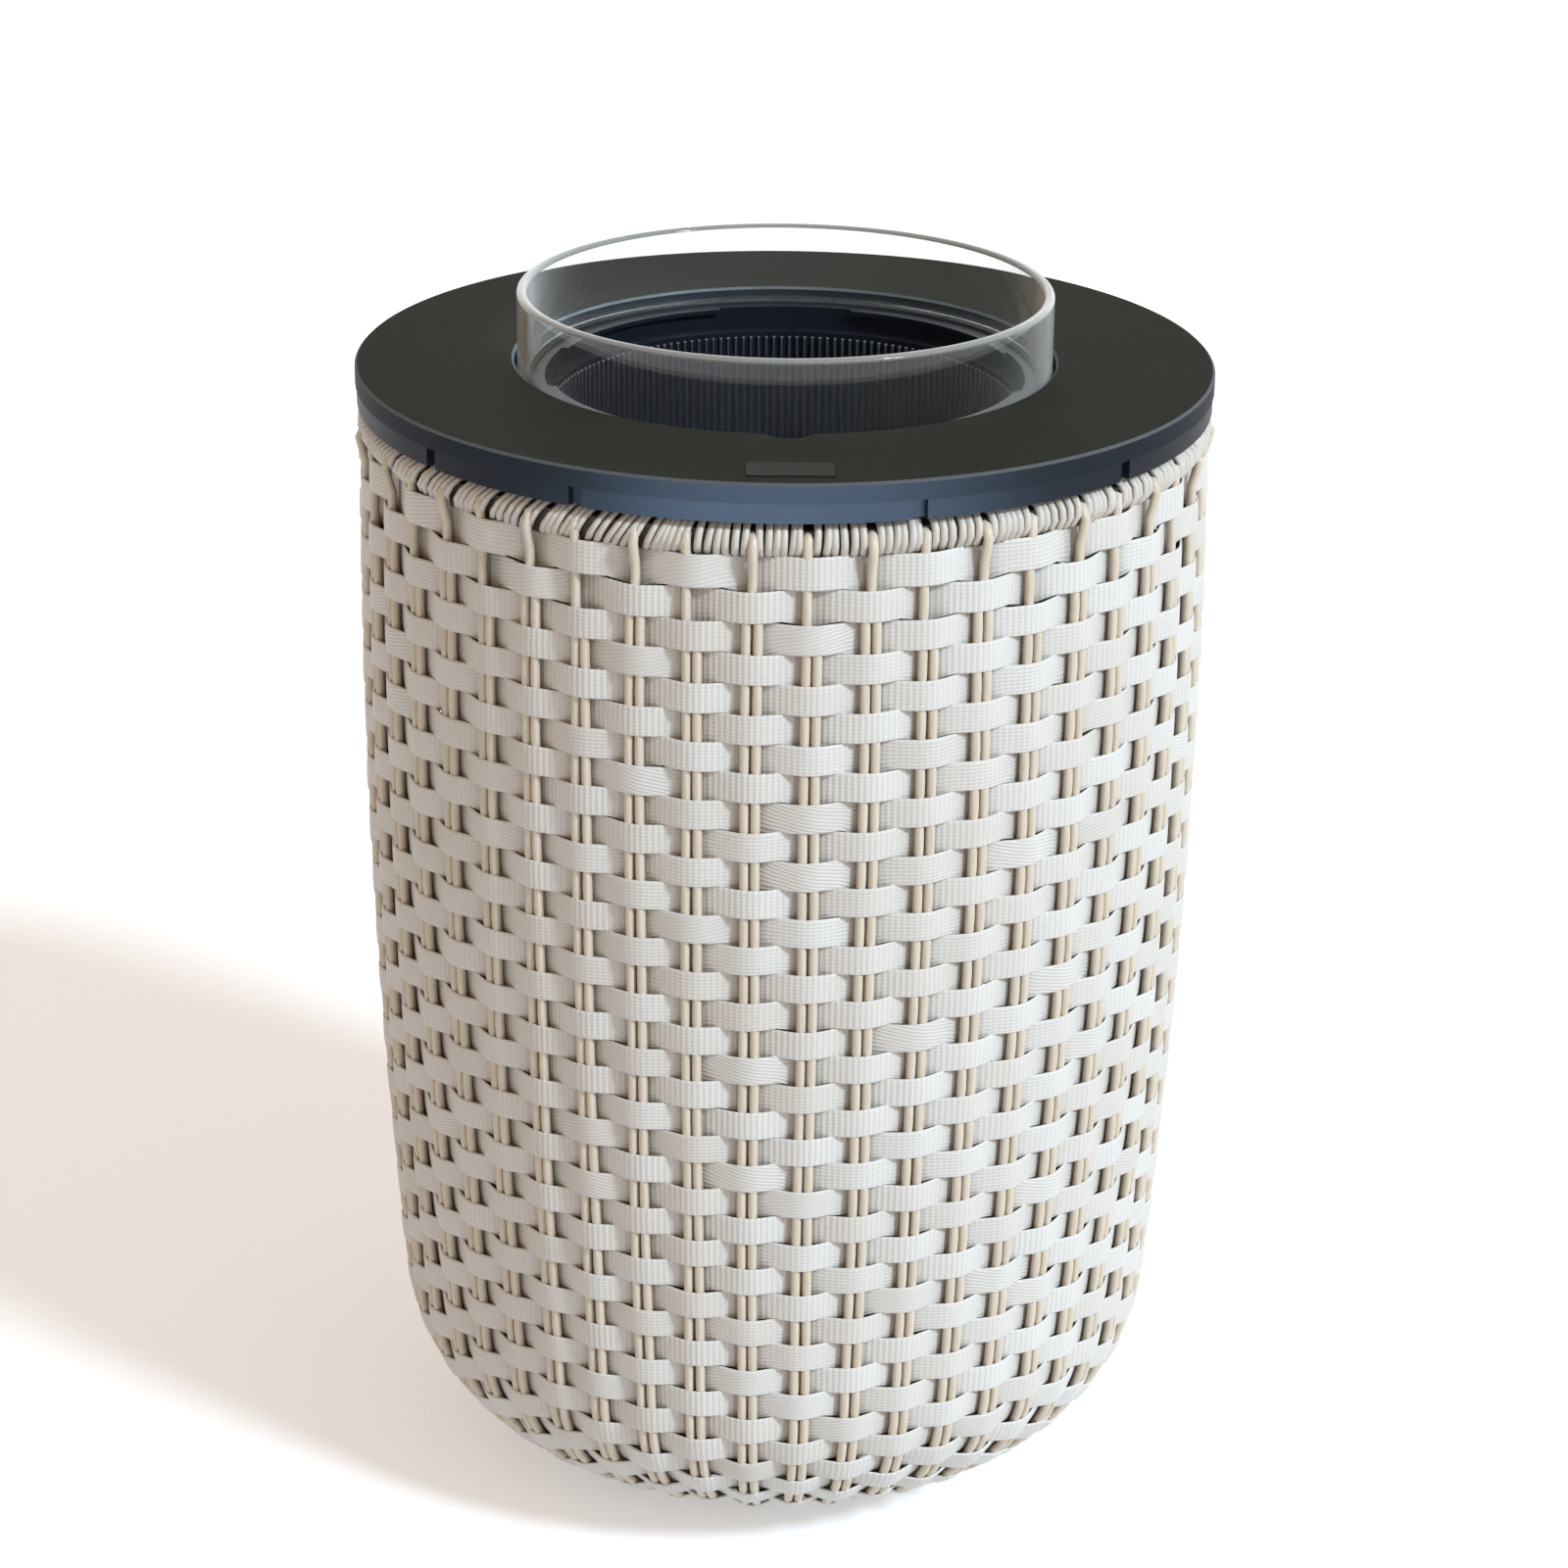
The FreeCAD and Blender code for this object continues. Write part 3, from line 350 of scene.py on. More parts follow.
def mix(tree, factor, first, second):
    """Result of mixing two colours."""
    return add(tree, "Mix", {"data_type": "RGBA"}, {0: factor, 6: first, 7: second}).outputs[2]


def noise(tree, place, per_metre, detail=2.0, stretch=(1, 1, 1)):
    """Cloudy pattern with a number of lumps to the metre."""
    moved = add(tree, "Mapping", {}, {0: place, 3: [per_metre * s for s in stretch]})
    return add(tree, "TexNoise", {}, {"Vector": moved.outputs[0], "Scale": 1.0,
                                      "Detail": detail}).outputs[0]


def object_place(tree):
    """Place on the object, in metres."""
    return add(tree, "TexCoord", {}, {}).outputs["Object"]


def bump(tree, shader, height, depth, strength=1.0, before=None):
    """Raise the surface by a height pattern, up to a depth in metres."""
    inputs = {"Height": height, "Distance": depth, "Strength": strength}
    if before is not None:
        inputs["Normal"] = before
    made = add(tree, "Bump", {}, inputs)
    tree.links.new(made.outputs[0], shader.inputs["Normal"])
    return made.outputs[0]


def weave_map(tree):
    """Millimetres along and across a band or strand."""
    place = add(tree, "UVMap", {"uv_map": "weave"}, {}).outputs[0]
    parts = add(tree, "SeparateXYZ", {}, {0: place}).outputs
    return place, parts[0], parts[1]


def painted_recess_shade(tree, unshaded_colour, most):
    """Colour browned by painted shade, as far as the painted_shade attribute and a share ask."""
    painted_shade = add(tree, "Attribute", {"attribute_name": "painted_shade"}, {}).outputs["Fac"]
    share = maths(tree, "MULTIPLY", painted_shade, most)
    return mix(tree, share, unshaded_colour, rgba(linear(0x84705A)))


def band_finish(colours):
    """Extruded polyethylene band with pressed cross ribs: satin, and faintly cloth-like."""
    material, tree, shader = finish_of("extruded_polyethylene_band", Roughness=0.42, IOR=1.5)
    place, along, across = weave_map(tree)
    tone = add(tree, "Attribute", {"attribute_name": "tone"}, {}).outputs["Fac"]
    slant = add(tree, "Attribute", {"attribute_name": "slant"}, {}).outputs["Fac"]
    press = add(tree, "Attribute", {"attribute_name": "press"}, {}).outputs["Fac"]
    leaning = maths(tree, "MULTIPLY_ADD", along, slant, across)
    # Ribs 2.5 mm apart across the band. The rows of stitches along it are 1.3 mm apart,
    # and drawn 1.6 mm apart so that they show
    rib = maths(tree, "SINE", maths(tree, "MULTIPLY", along, FULL_TURN / RIB_PITCH))
    stitch = maths(tree, "SINE", maths(tree, "MULTIPLY", leaning, FULL_TURN / 1.6))
    loose = maths(tree, "MULTIPLY_ADD", press, -0.75, 1.15)
    relief = maths(tree, "MULTIPLY_ADD", stitch, loose, maths(tree, "MULTIPLY", rib, press))
    # Batches of band differ a little, and the surface clouds over a few centimetres
    cloud = noise(tree, object_place(tree), 45)
    batch = maths(tree, "MULTIPLY_ADD", cloud, 0.5, maths(tree, "MULTIPLY", tone, 0.75))
    plain = mix(tree, batch, rgba(colours.band), rgba(colours.band_warm))
    # Painted shade in the valleys between the pressed ribs and stitches
    painted_valley_shade = maths(tree, "MULTIPLY_ADD", relief, -0.06, 0.08)
    ribbed_with_painted_shade = mix(tree, painted_valley_shade, plain, rgba(linear(0x8C8478)))
    # Painted shade browns the band where it dives deep behind the stakes
    tree.links.new(painted_recess_shade(tree, ribbed_with_painted_shade, 0.38), shader.inputs["Base Color"])
    bump(tree, shader, relief, 0.00009)
    return material


def strand_finish(name, fresh, streaked):
    """Extruded polyethylene strand: satin cream with streaks drawn along its length."""
    material, tree, shader = finish_of(name, Roughness=0.38, IOR=1.5)
    place, _, _ = weave_map(tree)
    streak = noise(tree, place, 1.0, 3.0, (0.9, 0.035, 1))
    share = maths(tree, "MULTIPLY_ADD", streak, 1.5, -0.5)
    body = mix(tree, share, rgba(fresh), rgba(streaked))
    # Painted shade browns the strand on its inner side, down in the weave
    tree.links.new(painted_recess_shade(tree, body, 0.75), shader.inputs["Base Color"])
    bump(tree, shader, streak, 0.00015)
    return material


def facing_up(tree):
    """How far the surface faces up."""
    normal = add(tree, "NewGeometry", {}, {}).outputs["Normal"]
    return add(tree, "SeparateXYZ", {}, {0: normal}).outputs[2]


def painted_edge_highlight(tree, upward, body):
    """Colour with a painted highlight on the edges that slope up, where light from above catches them.
    """
    upward_slope = maths(tree, "MULTIPLY", maths(tree, "GREATER_THAN", upward, 0.3),
                   maths(tree, "LESS_THAN", upward, 0.9))
    return mix(tree, upward_slope, body, rgba(linear(0x5A5F62)))


def board_finish(colours):
    """Solid plastic board: matt charcoal face with a fine grain, blue-black milled edge."""
    material, tree, shader = finish_of("solid_core_board", Roughness=0.6, IOR=1.45,
                                       Specular_IOR_Level=0.06, Coat_Roughness=0.3,
                                       Coat_IOR=1.5)
    place = object_place(tree)
    grain = noise(tree, place, 1400, 4.0)
    cloud = noise(tree, place, 30)
    upward = facing_up(tree)
    face = maths(tree, "GREATER_THAN", upward, 0.9)
    # Milling marks run round the edge, drawn 0.6 mm apart so that they show
    marks = noise(tree, place, 1600, 2.0, (0.02, 0.02, 1))
    shade = mix(tree, cloud, rgba([c * 0.85 for c in colours.board]),
                rgba([c * 1.2 for c in colours.board]))
    edge = mix(tree, marks, rgba([c * 0.7 for c in colours.board_edge]),
               rgba([c * 1.6 for c in colours.board_edge]))
    whole = mix(tree, face, edge, shade)
    # Painted highlight on the board's upward sloping edges
    tree.links.new(painted_edge_highlight(tree, upward, whole), shader.inputs["Base Color"])
    rough = maths(tree, "MULTIPLY_ADD", grain, 0.2, 0.55)
    tree.links.new(rough, shader.inputs["Roughness"])
    # Only the milled edge is waxed
    wax = maths(tree, "MULTIPLY_ADD", face, -0.12, 0.12)
    tree.links.new(wax, shader.inputs["Coat Weight"])
    bump(tree, shader, grain, 0.00006)
    return material


def moulding_finish(name, base, roughness, grain_per_metre, depth, shine=0.5):
    """Injection-moulded plastic: even colour with a fine spark-eroded grain."""
    material, tree, shader = finish_of(name, Roughness=roughness, IOR=1.48,
                                       Specular_IOR_Level=shine)
    place = object_place(tree)
    grain = noise(tree, place, grain_per_metre, 3.0)
    cloud = noise(tree, place, 25)
    shade = mix(tree, cloud, rgba([c * 0.82 for c in base]), rgba([c * 1.22 for c in base]))
    # Painted highlight on the moulding's upward sloping edges
    tree.links.new(painted_edge_highlight(tree, facing_up(tree), shade), shader.inputs["Base Color"])
    rough = maths(tree, "MULTIPLY_ADD", cloud, 0.14, roughness - 0.07)
    tree.links.new(rough, shader.inputs["Roughness"])
    bump(tree, shader, grain, depth)
    return material


def foam_finish(colours):
    """Rigid polyurethane foam: dull cream skin with small burst cells."""
    material, tree, shader = finish_of("rigid_foam", Roughness=0.85)
    place = object_place(tree)
    cells = add(tree, "TexVoronoi", {}, {"Vector": place, "Scale": 550.0}).outputs[0]
    shade = mix(tree, cells, rgba([c * 0.75 for c in colours.foam]), rgba(colours.foam))
    tree.links.new(shade, shader.inputs["Base Color"])
    bump(tree, shader, cells, 0.0004)
    return material


def coat_finish(colours):
    """Powder-coated aluminium: dull even colour with a slight orange-peel texture."""
    material, tree, shader = finish_of("powder_coated_aluminium", Roughness=0.5, IOR=1.5)
    place = object_place(tree)
    peel = noise(tree, place, 700, 1.0)
    shade = mix(tree, noise(tree, place, 40), rgba(colours.metal),
                rgba([c * 0.7 for c in colours.metal]))
    tree.links.new(shade, shader.inputs["Base Color"])
    bump(tree, shader, peel, 0.00012)
    return material


def steel_finish(colours):
    """Stainless steel, cold-headed and tumbled: bright grey with small dents."""
    material, tree, shader = finish_of("tumbled_stainless_steel", Metallic=1.0, Roughness=0.3)
    place = object_place(tree)
    dents = noise(tree, place, 1200, 2.0)
    shade = mix(tree, dents, rgba(colours.steel), rgba([c * 0.75 for c in colours.steel]))
    tree.links.new(shade, shader.inputs["Base Color"])
    rough = maths(tree, "MULTIPLY_ADD", dents, 0.2, 0.2)
    tree.links.new(rough, shader.inputs["Roughness"])
    bump(tree, shader, dents, 0.00005)
    return material


def glass_finish(colours):
    """Clear soda-lime glass, fire-polished: lamps shine through it, edges go faintly green."""
    # A film of fine moisture stands on it and shows most where the wall is seen edge-on
    material, tree, shader = finish_of("fire_polished_glass", Roughness=0.0, IOR=1.42,
                                       Transmission_Weight=1.0, Sheen_Weight=0.5,
                                       Sheen_Roughness=0.3)
    # Thick seen edge-on it goes green, and the colour wanders a little over the glass
    cloud = noise(tree, object_place(tree), 12, 1.0)
    tint = mix(tree, cloud, rgba(colours.glass), (1, 1, 1, 1))
    tree.links.new(tint, shader.inputs["Base Color"])
    # The rim is only lightly polished, so it scatters some of the light
    level = add(tree, "SeparateXYZ", {}, {0: object_place(tree)}).outputs[2]
    rim = add(tree, "MapRange", {}, {0: level, 1: GLASS_TOP - 0.0024,
                                     2: GLASS_TOP - 0.0012}).outputs[0]
    facing_away = add(tree, "LayerWeight", {}, {"Blend": 0.5}).outputs["Facing"]
    film = maths(tree, "MULTIPLY", maths(tree, "POWER", facing_away, 5.0), 1.4)
    film = maths(tree, "MINIMUM", film, 0.5)
    clear_share = maths(tree, "SUBTRACT", 0.992, film)
    tree.links.new(maths(tree, "MULTIPLY_ADD", rim, -0.27, clear_share),
                   shader.inputs["Transmission Weight"])
    lamp_ray = add(tree, "LightPath", {}, {}).outputs["Is Shadow Ray"]
    open_share = maths(tree, "MULTIPLY", lamp_ray, 0.92)
    clear = add(tree, "BsdfTransparent", {}, {0: (1, 1, 1, 1)}).outputs[0]
    both = add(tree, "MixShader", {}, {0: open_share, 1: shader.outputs[0], 2: clear})
    output = next(n for n in tree.nodes if n.type == "OUTPUT_MATERIAL")
    tree.links.new(both.outputs[0], output.inputs["Surface"])
    return material


def sight_rays(tree):
    """One for rays that show the background: from the camera, or off metal and through glass."""
    path = add(tree, "LightPath", {}, {}).outputs
    seen = maths(tree, "MAXIMUM", path["Is Camera Ray"], path["Is Glossy Ray"])
    return maths(tree, "MAXIMUM", seen, path["Is Transmission Ray"])


def floor_finish(colours):
    """Matt studio paper, lifted to white where it is seen, so that shadows still fall on it."""
    material, tree, shader = finish_of("studio_paper", Roughness=0.9,
                                       Specular_IOR_Level=0.1)
    fibre = noise(tree, object_place(tree), 400, 2.0)
    shade = mix(tree, fibre, rgba(colours.floor), rgba([c * 0.985 for c in colours.floor]))
    tree.links.new(shade, shader.inputs["Base Color"])
    lift = maths(tree, "MULTIPLY", sight_rays(tree), 0.42)
    glow = add(tree, "Emission", {}, {0: (1, 1, 1, 1), 1: lift}).outputs[0]
    both = add(tree, "AddShader", {}, {0: shader.outputs[0], 1: glow}).outputs[0]
    # From below the paper is clear, so that the base can be looked at
    behind = add(tree, "NewGeometry", {}, {}).outputs["Backfacing"]
    clear = add(tree, "BsdfTransparent", {}, {0: (1, 1, 1, 1)}).outputs[0]
    one_sided = add(tree, "MixShader", {}, {0: behind, 1: both, 2: clear})
    output = next(n for n in tree.nodes if n.type == "OUTPUT_MATERIAL")
    tree.links.new(one_sided.outputs[0], output.inputs["Surface"])
    return material


def material_named(name, maker, *values):
    """Material by name, made the first time it is asked for."""
    return bpy.data.materials.get(name) or maker(*values)


def strand_material(colours):
    """Finish of the upright strands and the base's coil."""
    name = "extruded_polyethylene_strand"
    return material_named(name, strand_finish, name, colours.strand, colours.strand_dark)


# Pieces

class COOLER_OT_solid_finishes(bpy.types.Operator):
    """Give every solid piece of the frame its finish"""

    bl_idname = "cooler_table.solid_finishes"
    bl_label = "Finish Solid Pieces"

    def execute(self, context):
        colours = context.scene.cooler_table_colours
        board = board_finish(colours)
        moulding = moulding_finish("moulded_blue_black_plastic", colours.moulding,
                                   0.42, 1500, 0.00005, 0.13)
        plate = moulding_finish("moulded_bare_plate", colours.plate, 0.45, 1800, 0.00004, 0.05)
        bucket = moulding_finish("moulded_polypropylene", colours.bucket, 0.3, 1100, 0.00003)
        rubber = moulding_finish("moulded_silicone", colours.rubber, 0.6, 1600, 0.00006)
        nylon = moulding_finish("moulded_nylon", colours.nylon, 0.5, 1300, 0.00006)
        coat = coat_finish(colours)
        steel = steel_finish(colours)
        foam = foam_finish(colours)
        given = {
            "table_ring": board, "badge_plate": plate, "under_ring": moulding,
            "locating_ring": moulding, "table_screws": steel, "locating_screws": steel,
            "rest_pads": rubber, "bucket_rim": bucket, "bucket_liner": bucket,
            "bucket_shell": bucket, "bucket_insulation": foam, "glass_seal": rubber,
            "rim_hoop": coat, "upper_waist_hoop": coat, "lower_waist_hoop": coat,
            "base_hoop": coat, "frame_uprights": coat, "frame_feet": coat,
            "base_star": coat, "base_glides": nylon, "glide_screws": steel,
            "glide_nuts": steel,
        }
        for name, material in given.items():
            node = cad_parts[name]
            node.data.materials.clear()
            node.data.materials.append(material)
        return {"FINISHED"}


COLUMNS_PER_STAKE = 8
# Where the band's columns stand between a crest and the next trough: close together at the bends
COLUMN_PLACES = (0.0, 0.1, 0.2, 0.34, 0.5, 0.66, 0.8, 0.9, 1.0)
DIVE = (0.1, 0.9)         # shares of the way to the next stake where the band starts and ends its dive
BAND_LINES = (-1.0, -0.86, -0.34, 0.34, 0.86, 1.0)   # lines along the band, as shares of half its width
ROWS_IN_A_PIECE = 15
SPREAD_DOWN = 0.0028      # how much lower the band's lower edge lies behind a stake
SPREAD_UP = 0.001         # and how much higher its upper edge
RIB_PITCH = 2.5           # millimetres from one pressed rib to the next
LOOSE_ROWS = (0.0027, 0.0009)   # how much higher the first rows lie, which aren't beaten down


def make_band_ring(sizes):
    """One closed flat band round a circle of one metre, to be copied for each row."""
    columns = COLUMNS_PER_STAKE * sizes.stakes
    bpy.ops.object.select_all(action="DESELECT")
    bpy.ops.mesh.primitive_grid_add(x_subdivisions=columns,
                                    y_subdivisions=len(BAND_LINES) - 1, size=2)
    ring = fresh("band_ring")
    points = points_of(ring.data)
    steps = np.rint((points[:, 1] + 1) / 2 * (len(BAND_LINES) - 1)).astype(int)
    turn = points[:, 0] * math.pi + FIRST_STAKE
    across = np.array(BAND_LINES)[steps] * sizes.band_width / 2
    set_points(ring.data, np.stack([np.sin(turn), -np.cos(turn), across], axis=1))
    in_edit_mode(ring, lambda: bpy.ops.mesh.remove_doubles(threshold=1e-6))
    modify(ring, "SOLIDIFY", thickness=sizes.band_thick, offset=0.0)
    modify(ring, "BEVEL", width=sizes.band_thick * 0.3, segments=1, limit_method="ANGLE",
           angle_limit=math.radians(50))
    return ring


def stakes_at(row, sizes):
    """Stakes that a row is woven round: every second one ends where the base starts."""
    return sizes.stakes if row < sizes.side_rows else sizes.stakes // 2


def slimmed(radius, stakes):
    """How far strands and swing shrink where the stakes stand close together."""
    spacing = FULL_TURN * radius / stakes
    return np.clip(spacing / 0.0145, 0.5, 1.0)


def place_columns(phase, side, stakes, sizes):
    """Nearest crest of each column, how far from it the column goes, and where that is."""
    crest = side + 2 * np.rint((phase - side) / 2)
    away = np.abs(phase - crest)
    if stakes == sizes.stakes:
        away = np.interp(away, np.linspace(0, 1, COLUMNS_PER_STAKE + 1), COLUMN_PLACES)
    return crest, away, crest + np.sign(phase - crest) * away


def weave_row(mesh, row, sizes, chance):
    """Wrap one flat band round the drum, over one stake and behind the next."""
    points = points_of(mesh)
    turn = np.arctan2(points[:, 0], -points[:, 1])
    across = points[:, 2]
    out = np.hypot(points[:, 0], points[:, 1]) - 1.0
    stakes = stakes_at(row, sizes)
    side = row % 2
    crest, away, phase = place_columns((turn - FIRST_STAKE) / (FULL_TURN / stakes), side,
                                       stakes, sizes)
    brick = (((crest - side) / 2).astype(int)) % (stakes // 2)
    turn = FIRST_STAKE + phase * FULL_TURN / stakes
    # Taut from one stake to the next, and bent round each
    fall = np.clip((away - DIVE[0]) / (DIVE[1] - DIVE[0]), 0, 1)
    sunk = 0.7 * fall + 0.3 * smooth_step(fall)
    wave = 1.0 - 2.0 * sunk
    centre = (row + 0.5) * sizes.row_pitch
    loose = LOOSE_ROWS[row] if row < len(LOOSE_ROWS) else 0.0
    centre -= loose
    radius = float(middle_line(centre)[0])
    lift = wave * sizes.band_swing * slimmed(radius, stakes)
    bulge = chance.uniform(0.93, 1.09, stakes)
    lift = np.where(lift > 0, lift * bulge[brick], lift)
    # Rows wander a little, and the band spreads where it lies behind a stake
    edge = across / (sizes.band_width / 2)
    starts = chance.uniform(0, FULL_TURN, 3)
    wander = sum(0.00016 * np.sin(turn * beats + start)
                 for beats, start in zip((5, 11, 24), starts))
    tilt = chance.uniform(-0.011, 0.011, stakes)[brick] * np.clip(wave, 0, 1)
    drop = np.where(across < 0, SPREAD_DOWN, -SPREAD_UP) * np.clip(-wave, 0, 1) * np.abs(edge)
    # The upper bands aren't beaten down, so they keep their full width
    drop += np.where(across < 0, loose * 0.45, 0.0) * np.abs(edge)
    out = out + lift - sizes.band_crown * edge ** 2
    slide = (phase - crest) * FULL_TURN / stakes * radius
    distance = centre - across + drop + wander + tilt * slide
    set_points(mesh, on_drum(turn, distance, out))
    # Some stretches show their ribs most, some their stitches, and a few run aslant
    tones = chance.uniform(0, 1, stakes)
    presses = chance.choice([1.0, 0.95, 0.85, 0.6, 0.4, 0.1], stakes)
    slants = np.where(presses < 0.3, chance.choice([-0.21, 0.21], stakes), 0.0)
    store(mesh, "tone", tones[brick])
    store(mesh, "slant", slants[brick])
    store(mesh, "press", presses[brick])
    # Painted shade: darker where the band lies deep behind a stake, shaded by the strands
    store(mesh, "painted_shade", smooth_step((-wave - 0.3) / 0.7))
    corners = corner_vertices(mesh)
    flat = np.empty(len(mesh.loops) * 2, np.float32)
    mesh.uv_layers.active.data.foreach_get("uv", flat)
    _, _, share = place_columns((flat.reshape(-1, 2)[:, 0] - 0.5) * stakes, side, stakes, sizes)
    ribs = round(FULL_TURN * radius * 1000 / RIB_PITCH)
    store_uv(mesh, share / stakes * ribs * RIB_PITCH, across[corners] * 1000)


class COOLER_OT_woven_bands(bpy.types.Operator):
    """Weave the flat bands of the drum's side, corner and base"""

    bl_idname = "cooler_table.woven_bands"
    bl_label = "Weave Bands"

    def execute(self, context):
        sizes = context.scene.cooler_table_sizes
        material = material_named("extruded_polyethylene_band", band_finish,
                                  context.scene.cooler_table_colours)
        chance = np.random.RandomState(7)
        ring = make_band_ring(sizes)
        rows = []
        for row in range(sizes.rows):
            band = copy_of(ring, "band_%d" % row)
            weave_row(band.data, row, sizes, chance)
            rows.append(band)
        bpy.data.objects.remove(ring)
        names = ("upper_bands", "middle_bands", "lower_bands")
        nodes = ((), (), ("woven_corner", "woven_base"))
        for index, name in enumerate(names):
            first = index * ROWS_IN_A_PIECE
            last = first + ROWS_IN_A_PIECE if index < len(names) - 1 else sizes.rows
            piece = join(rows[first:last], name)
            finish_piece(piece, "basket", material,
                         ("woven_wall",) + nodes[index])
        return {"FINISHED"}


STRAND_SIDES = 8
STEPS_PER_ROW = 3
CLIMB = 0.0075        # how far a stake's strand climbs on the border before it turns in
CLIMB_OUT = 0.0034    # how far outside the weave it lies there
TURN_IN = 0.0032      # radius of its turn inwards between two wraps
STRAND_OUT = 0.0004   # how far the strands lie outside the middle of the weave
TURNED = TURN_IN * math.pi / 2 + 0.004


def straight_strand(name, length, radius, steps):
    """Straight strand along Z from zero down, closed and rounded at its ends."""
    bpy.ops.object.select_all(action="DESELECT")
    bpy.ops.mesh.primitive_cylinder_add(vertices=STRAND_SIDES, radius=radius, depth=length,
                                        end_fill_type="NGON", location=(0, 0, -length / 2))
    strand = fresh(name)
    select_edges(strand, lambda a, b: abs(a.z - b.z) > length / 2)
    bpy.ops.mesh.subdivide(number_cuts=steps - 1)
    bpy.ops.object.mode_set(mode="OBJECT")
    select_edges(strand, lambda a, b: abs(a.z - b.z) < 1e-6 and (a.z > -1e-6 or a.z < 1e-6 - length))
    bpy.ops.mesh.bevel(offset=radius * 0.62, segments=2, affect="EDGES")
    bpy.ops.object.mode_set(mode="OBJECT")
    return strand


def lay_strand(mesh, start, stake, offset, long_one, sizes, chance):
    """Lay a straight strand down the drum beside its stake's centre."""
    points = points_of(mesh)
    distance = start - points[:, 2]
    turn = FIRST_STAKE + FULL_TURN * stake / sizes.stakes
    radius = middle_line(distance)[0]
    active = np.where(distance > (sizes.side_rows + 1) * sizes.row_pitch,
                      sizes.stakes // 2, sizes.stakes)
    slim = slimmed(radius, active)
    beat = 1 if stake % 2 == 0 else -1
    give = -beat * sizes.strand_swing * np.sin(math.pi * distance / sizes.row_pitch)
    give = np.where(distance > 0, give, 0.0)
    # Under the base every second stake goes on, so the beat follows its neighbours there
    under = distance > sizes.side_rows * sizes.row_pitch
    swap = 1 if (stake // 2) % 2 == 0 else -1
    give = np.where(under, -swap * sizes.strand_swing
                    * np.sin(math.pi * distance / sizes.row_pitch), give)
    centring = smooth_step((distance - sizes.row_pitch * 0.9) / sizes.row_pitch)
    side = offset * (centring if long_one and stake % 2 else 1.0)
    sway = 0.00025 * np.sin(distance * 31 + chance.uniform(0, FULL_TURN))
    around = (points[:, 0] + side + sway) * slim
    # The long strand climbs over the border's foot, then turns in between two wraps.
    # Where the first band covers it, it comes out above the band
    climb = smooth_step((0.003 - distance) / 0.006 if stake % 2 else
                        (-0.0032 - distance) / 0.0035) * CLIMB_OUT
    bend = np.clip(-CLIMB - distance, 0, TURN_IN * math.pi / 2) / TURN_IN
    beyond = np.clip(-CLIMB - distance - TURN_IN * math.pi / 2, 0, None)
    arm = TURN_IN + points[:, 1]
    bent_out = CLIMB_OUT + STRAND_OUT - TURN_IN + arm * np.cos(bend) - beyond
    out = np.where(bend > 0, bent_out, (points[:, 1] + give + STRAND_OUT) * slim + climb)
    place = np.where(bend > 0, -CLIMB - arm * np.sin(bend), distance)
    set_points(mesh, on_drum(turn + around / np.maximum(radius, 0.02), place, out))
    # Painted shade on the strand's inner side, where it lies down in the weave
    store(mesh, "painted_shade", smooth_step(0.45 - 0.85 * points[:, 1] / (sizes.strand_width / 2)))
    corners = corner_vertices(mesh)
    angle = np.arctan2(points[:, 1], points[:, 0])[corners] * 2.15
    shift = chance.uniform(0, 400)
    store_uv(mesh, angle + shift, distance[corners] * 1000 + shift)


class COOLER_OT_woven_strands(bpy.types.Operator):
    """Lay the pairs of upright strands that the bands are woven round"""

    bl_idname = "cooler_table.woven_strands"
    bl_label = "Lay Strands"

    def execute(self, context):
        sizes = context.scene.cooler_table_sizes
        material = strand_material(context.scene.cooler_table_colours)
        chance = np.random.RandomState(11)
        radius = sizes.strand_width / 2
        pitch = sizes.row_pitch
        whole = pitch * (sizes.rows - 0.25)
        part = pitch * (sizes.side_rows + 0.7)
        for name, long_one, offset in (("left_strands", True, -sizes.pair_offset),
                                       ("right_strands", False, sizes.pair_offset)):
            laid = []
            for ending, end in (("whole", whole), ("part", part)):
                top = -CLIMB - TURNED if long_one else 1.4 * pitch
                length = end - top
                steps = int(length / pitch * STEPS_PER_ROW)
                model = straight_strand("strand", length, radius, min(steps, 101))
                for stake in range(sizes.stakes):
                    if (stake % 2 == 0) != (ending == "whole"):
                        continue
                    start = top if long_one or stake % 2 else top + pitch
                    strand = copy_of(model, "strand_%d" % stake)
                    lay_strand(strand.data, start, stake, offset, long_one, sizes, chance)
                    laid.append(strand)
                bpy.data.objects.remove(model)
            piece = join(laid, name)
            in_edit_mode(piece, lambda: bpy.ops.mesh.normals_make_consistent(inside=False))
            finish_piece(piece, "basket", material, ("woven_wall",))
        return {"FINISHED"}


WRAP_SIDES = 6
WRAP_STEPS = 12
WRAP_LEAN = 0.0105       # how far the wraps on the left lean over the border's height
SQUARENESS = 2.7         # how square the wraps lie round the hoop
BORDER_INNER = 0.171     # inner radius of the border
WRAP_TUCK = 0.002       # how far the wraps reach down behind the first band


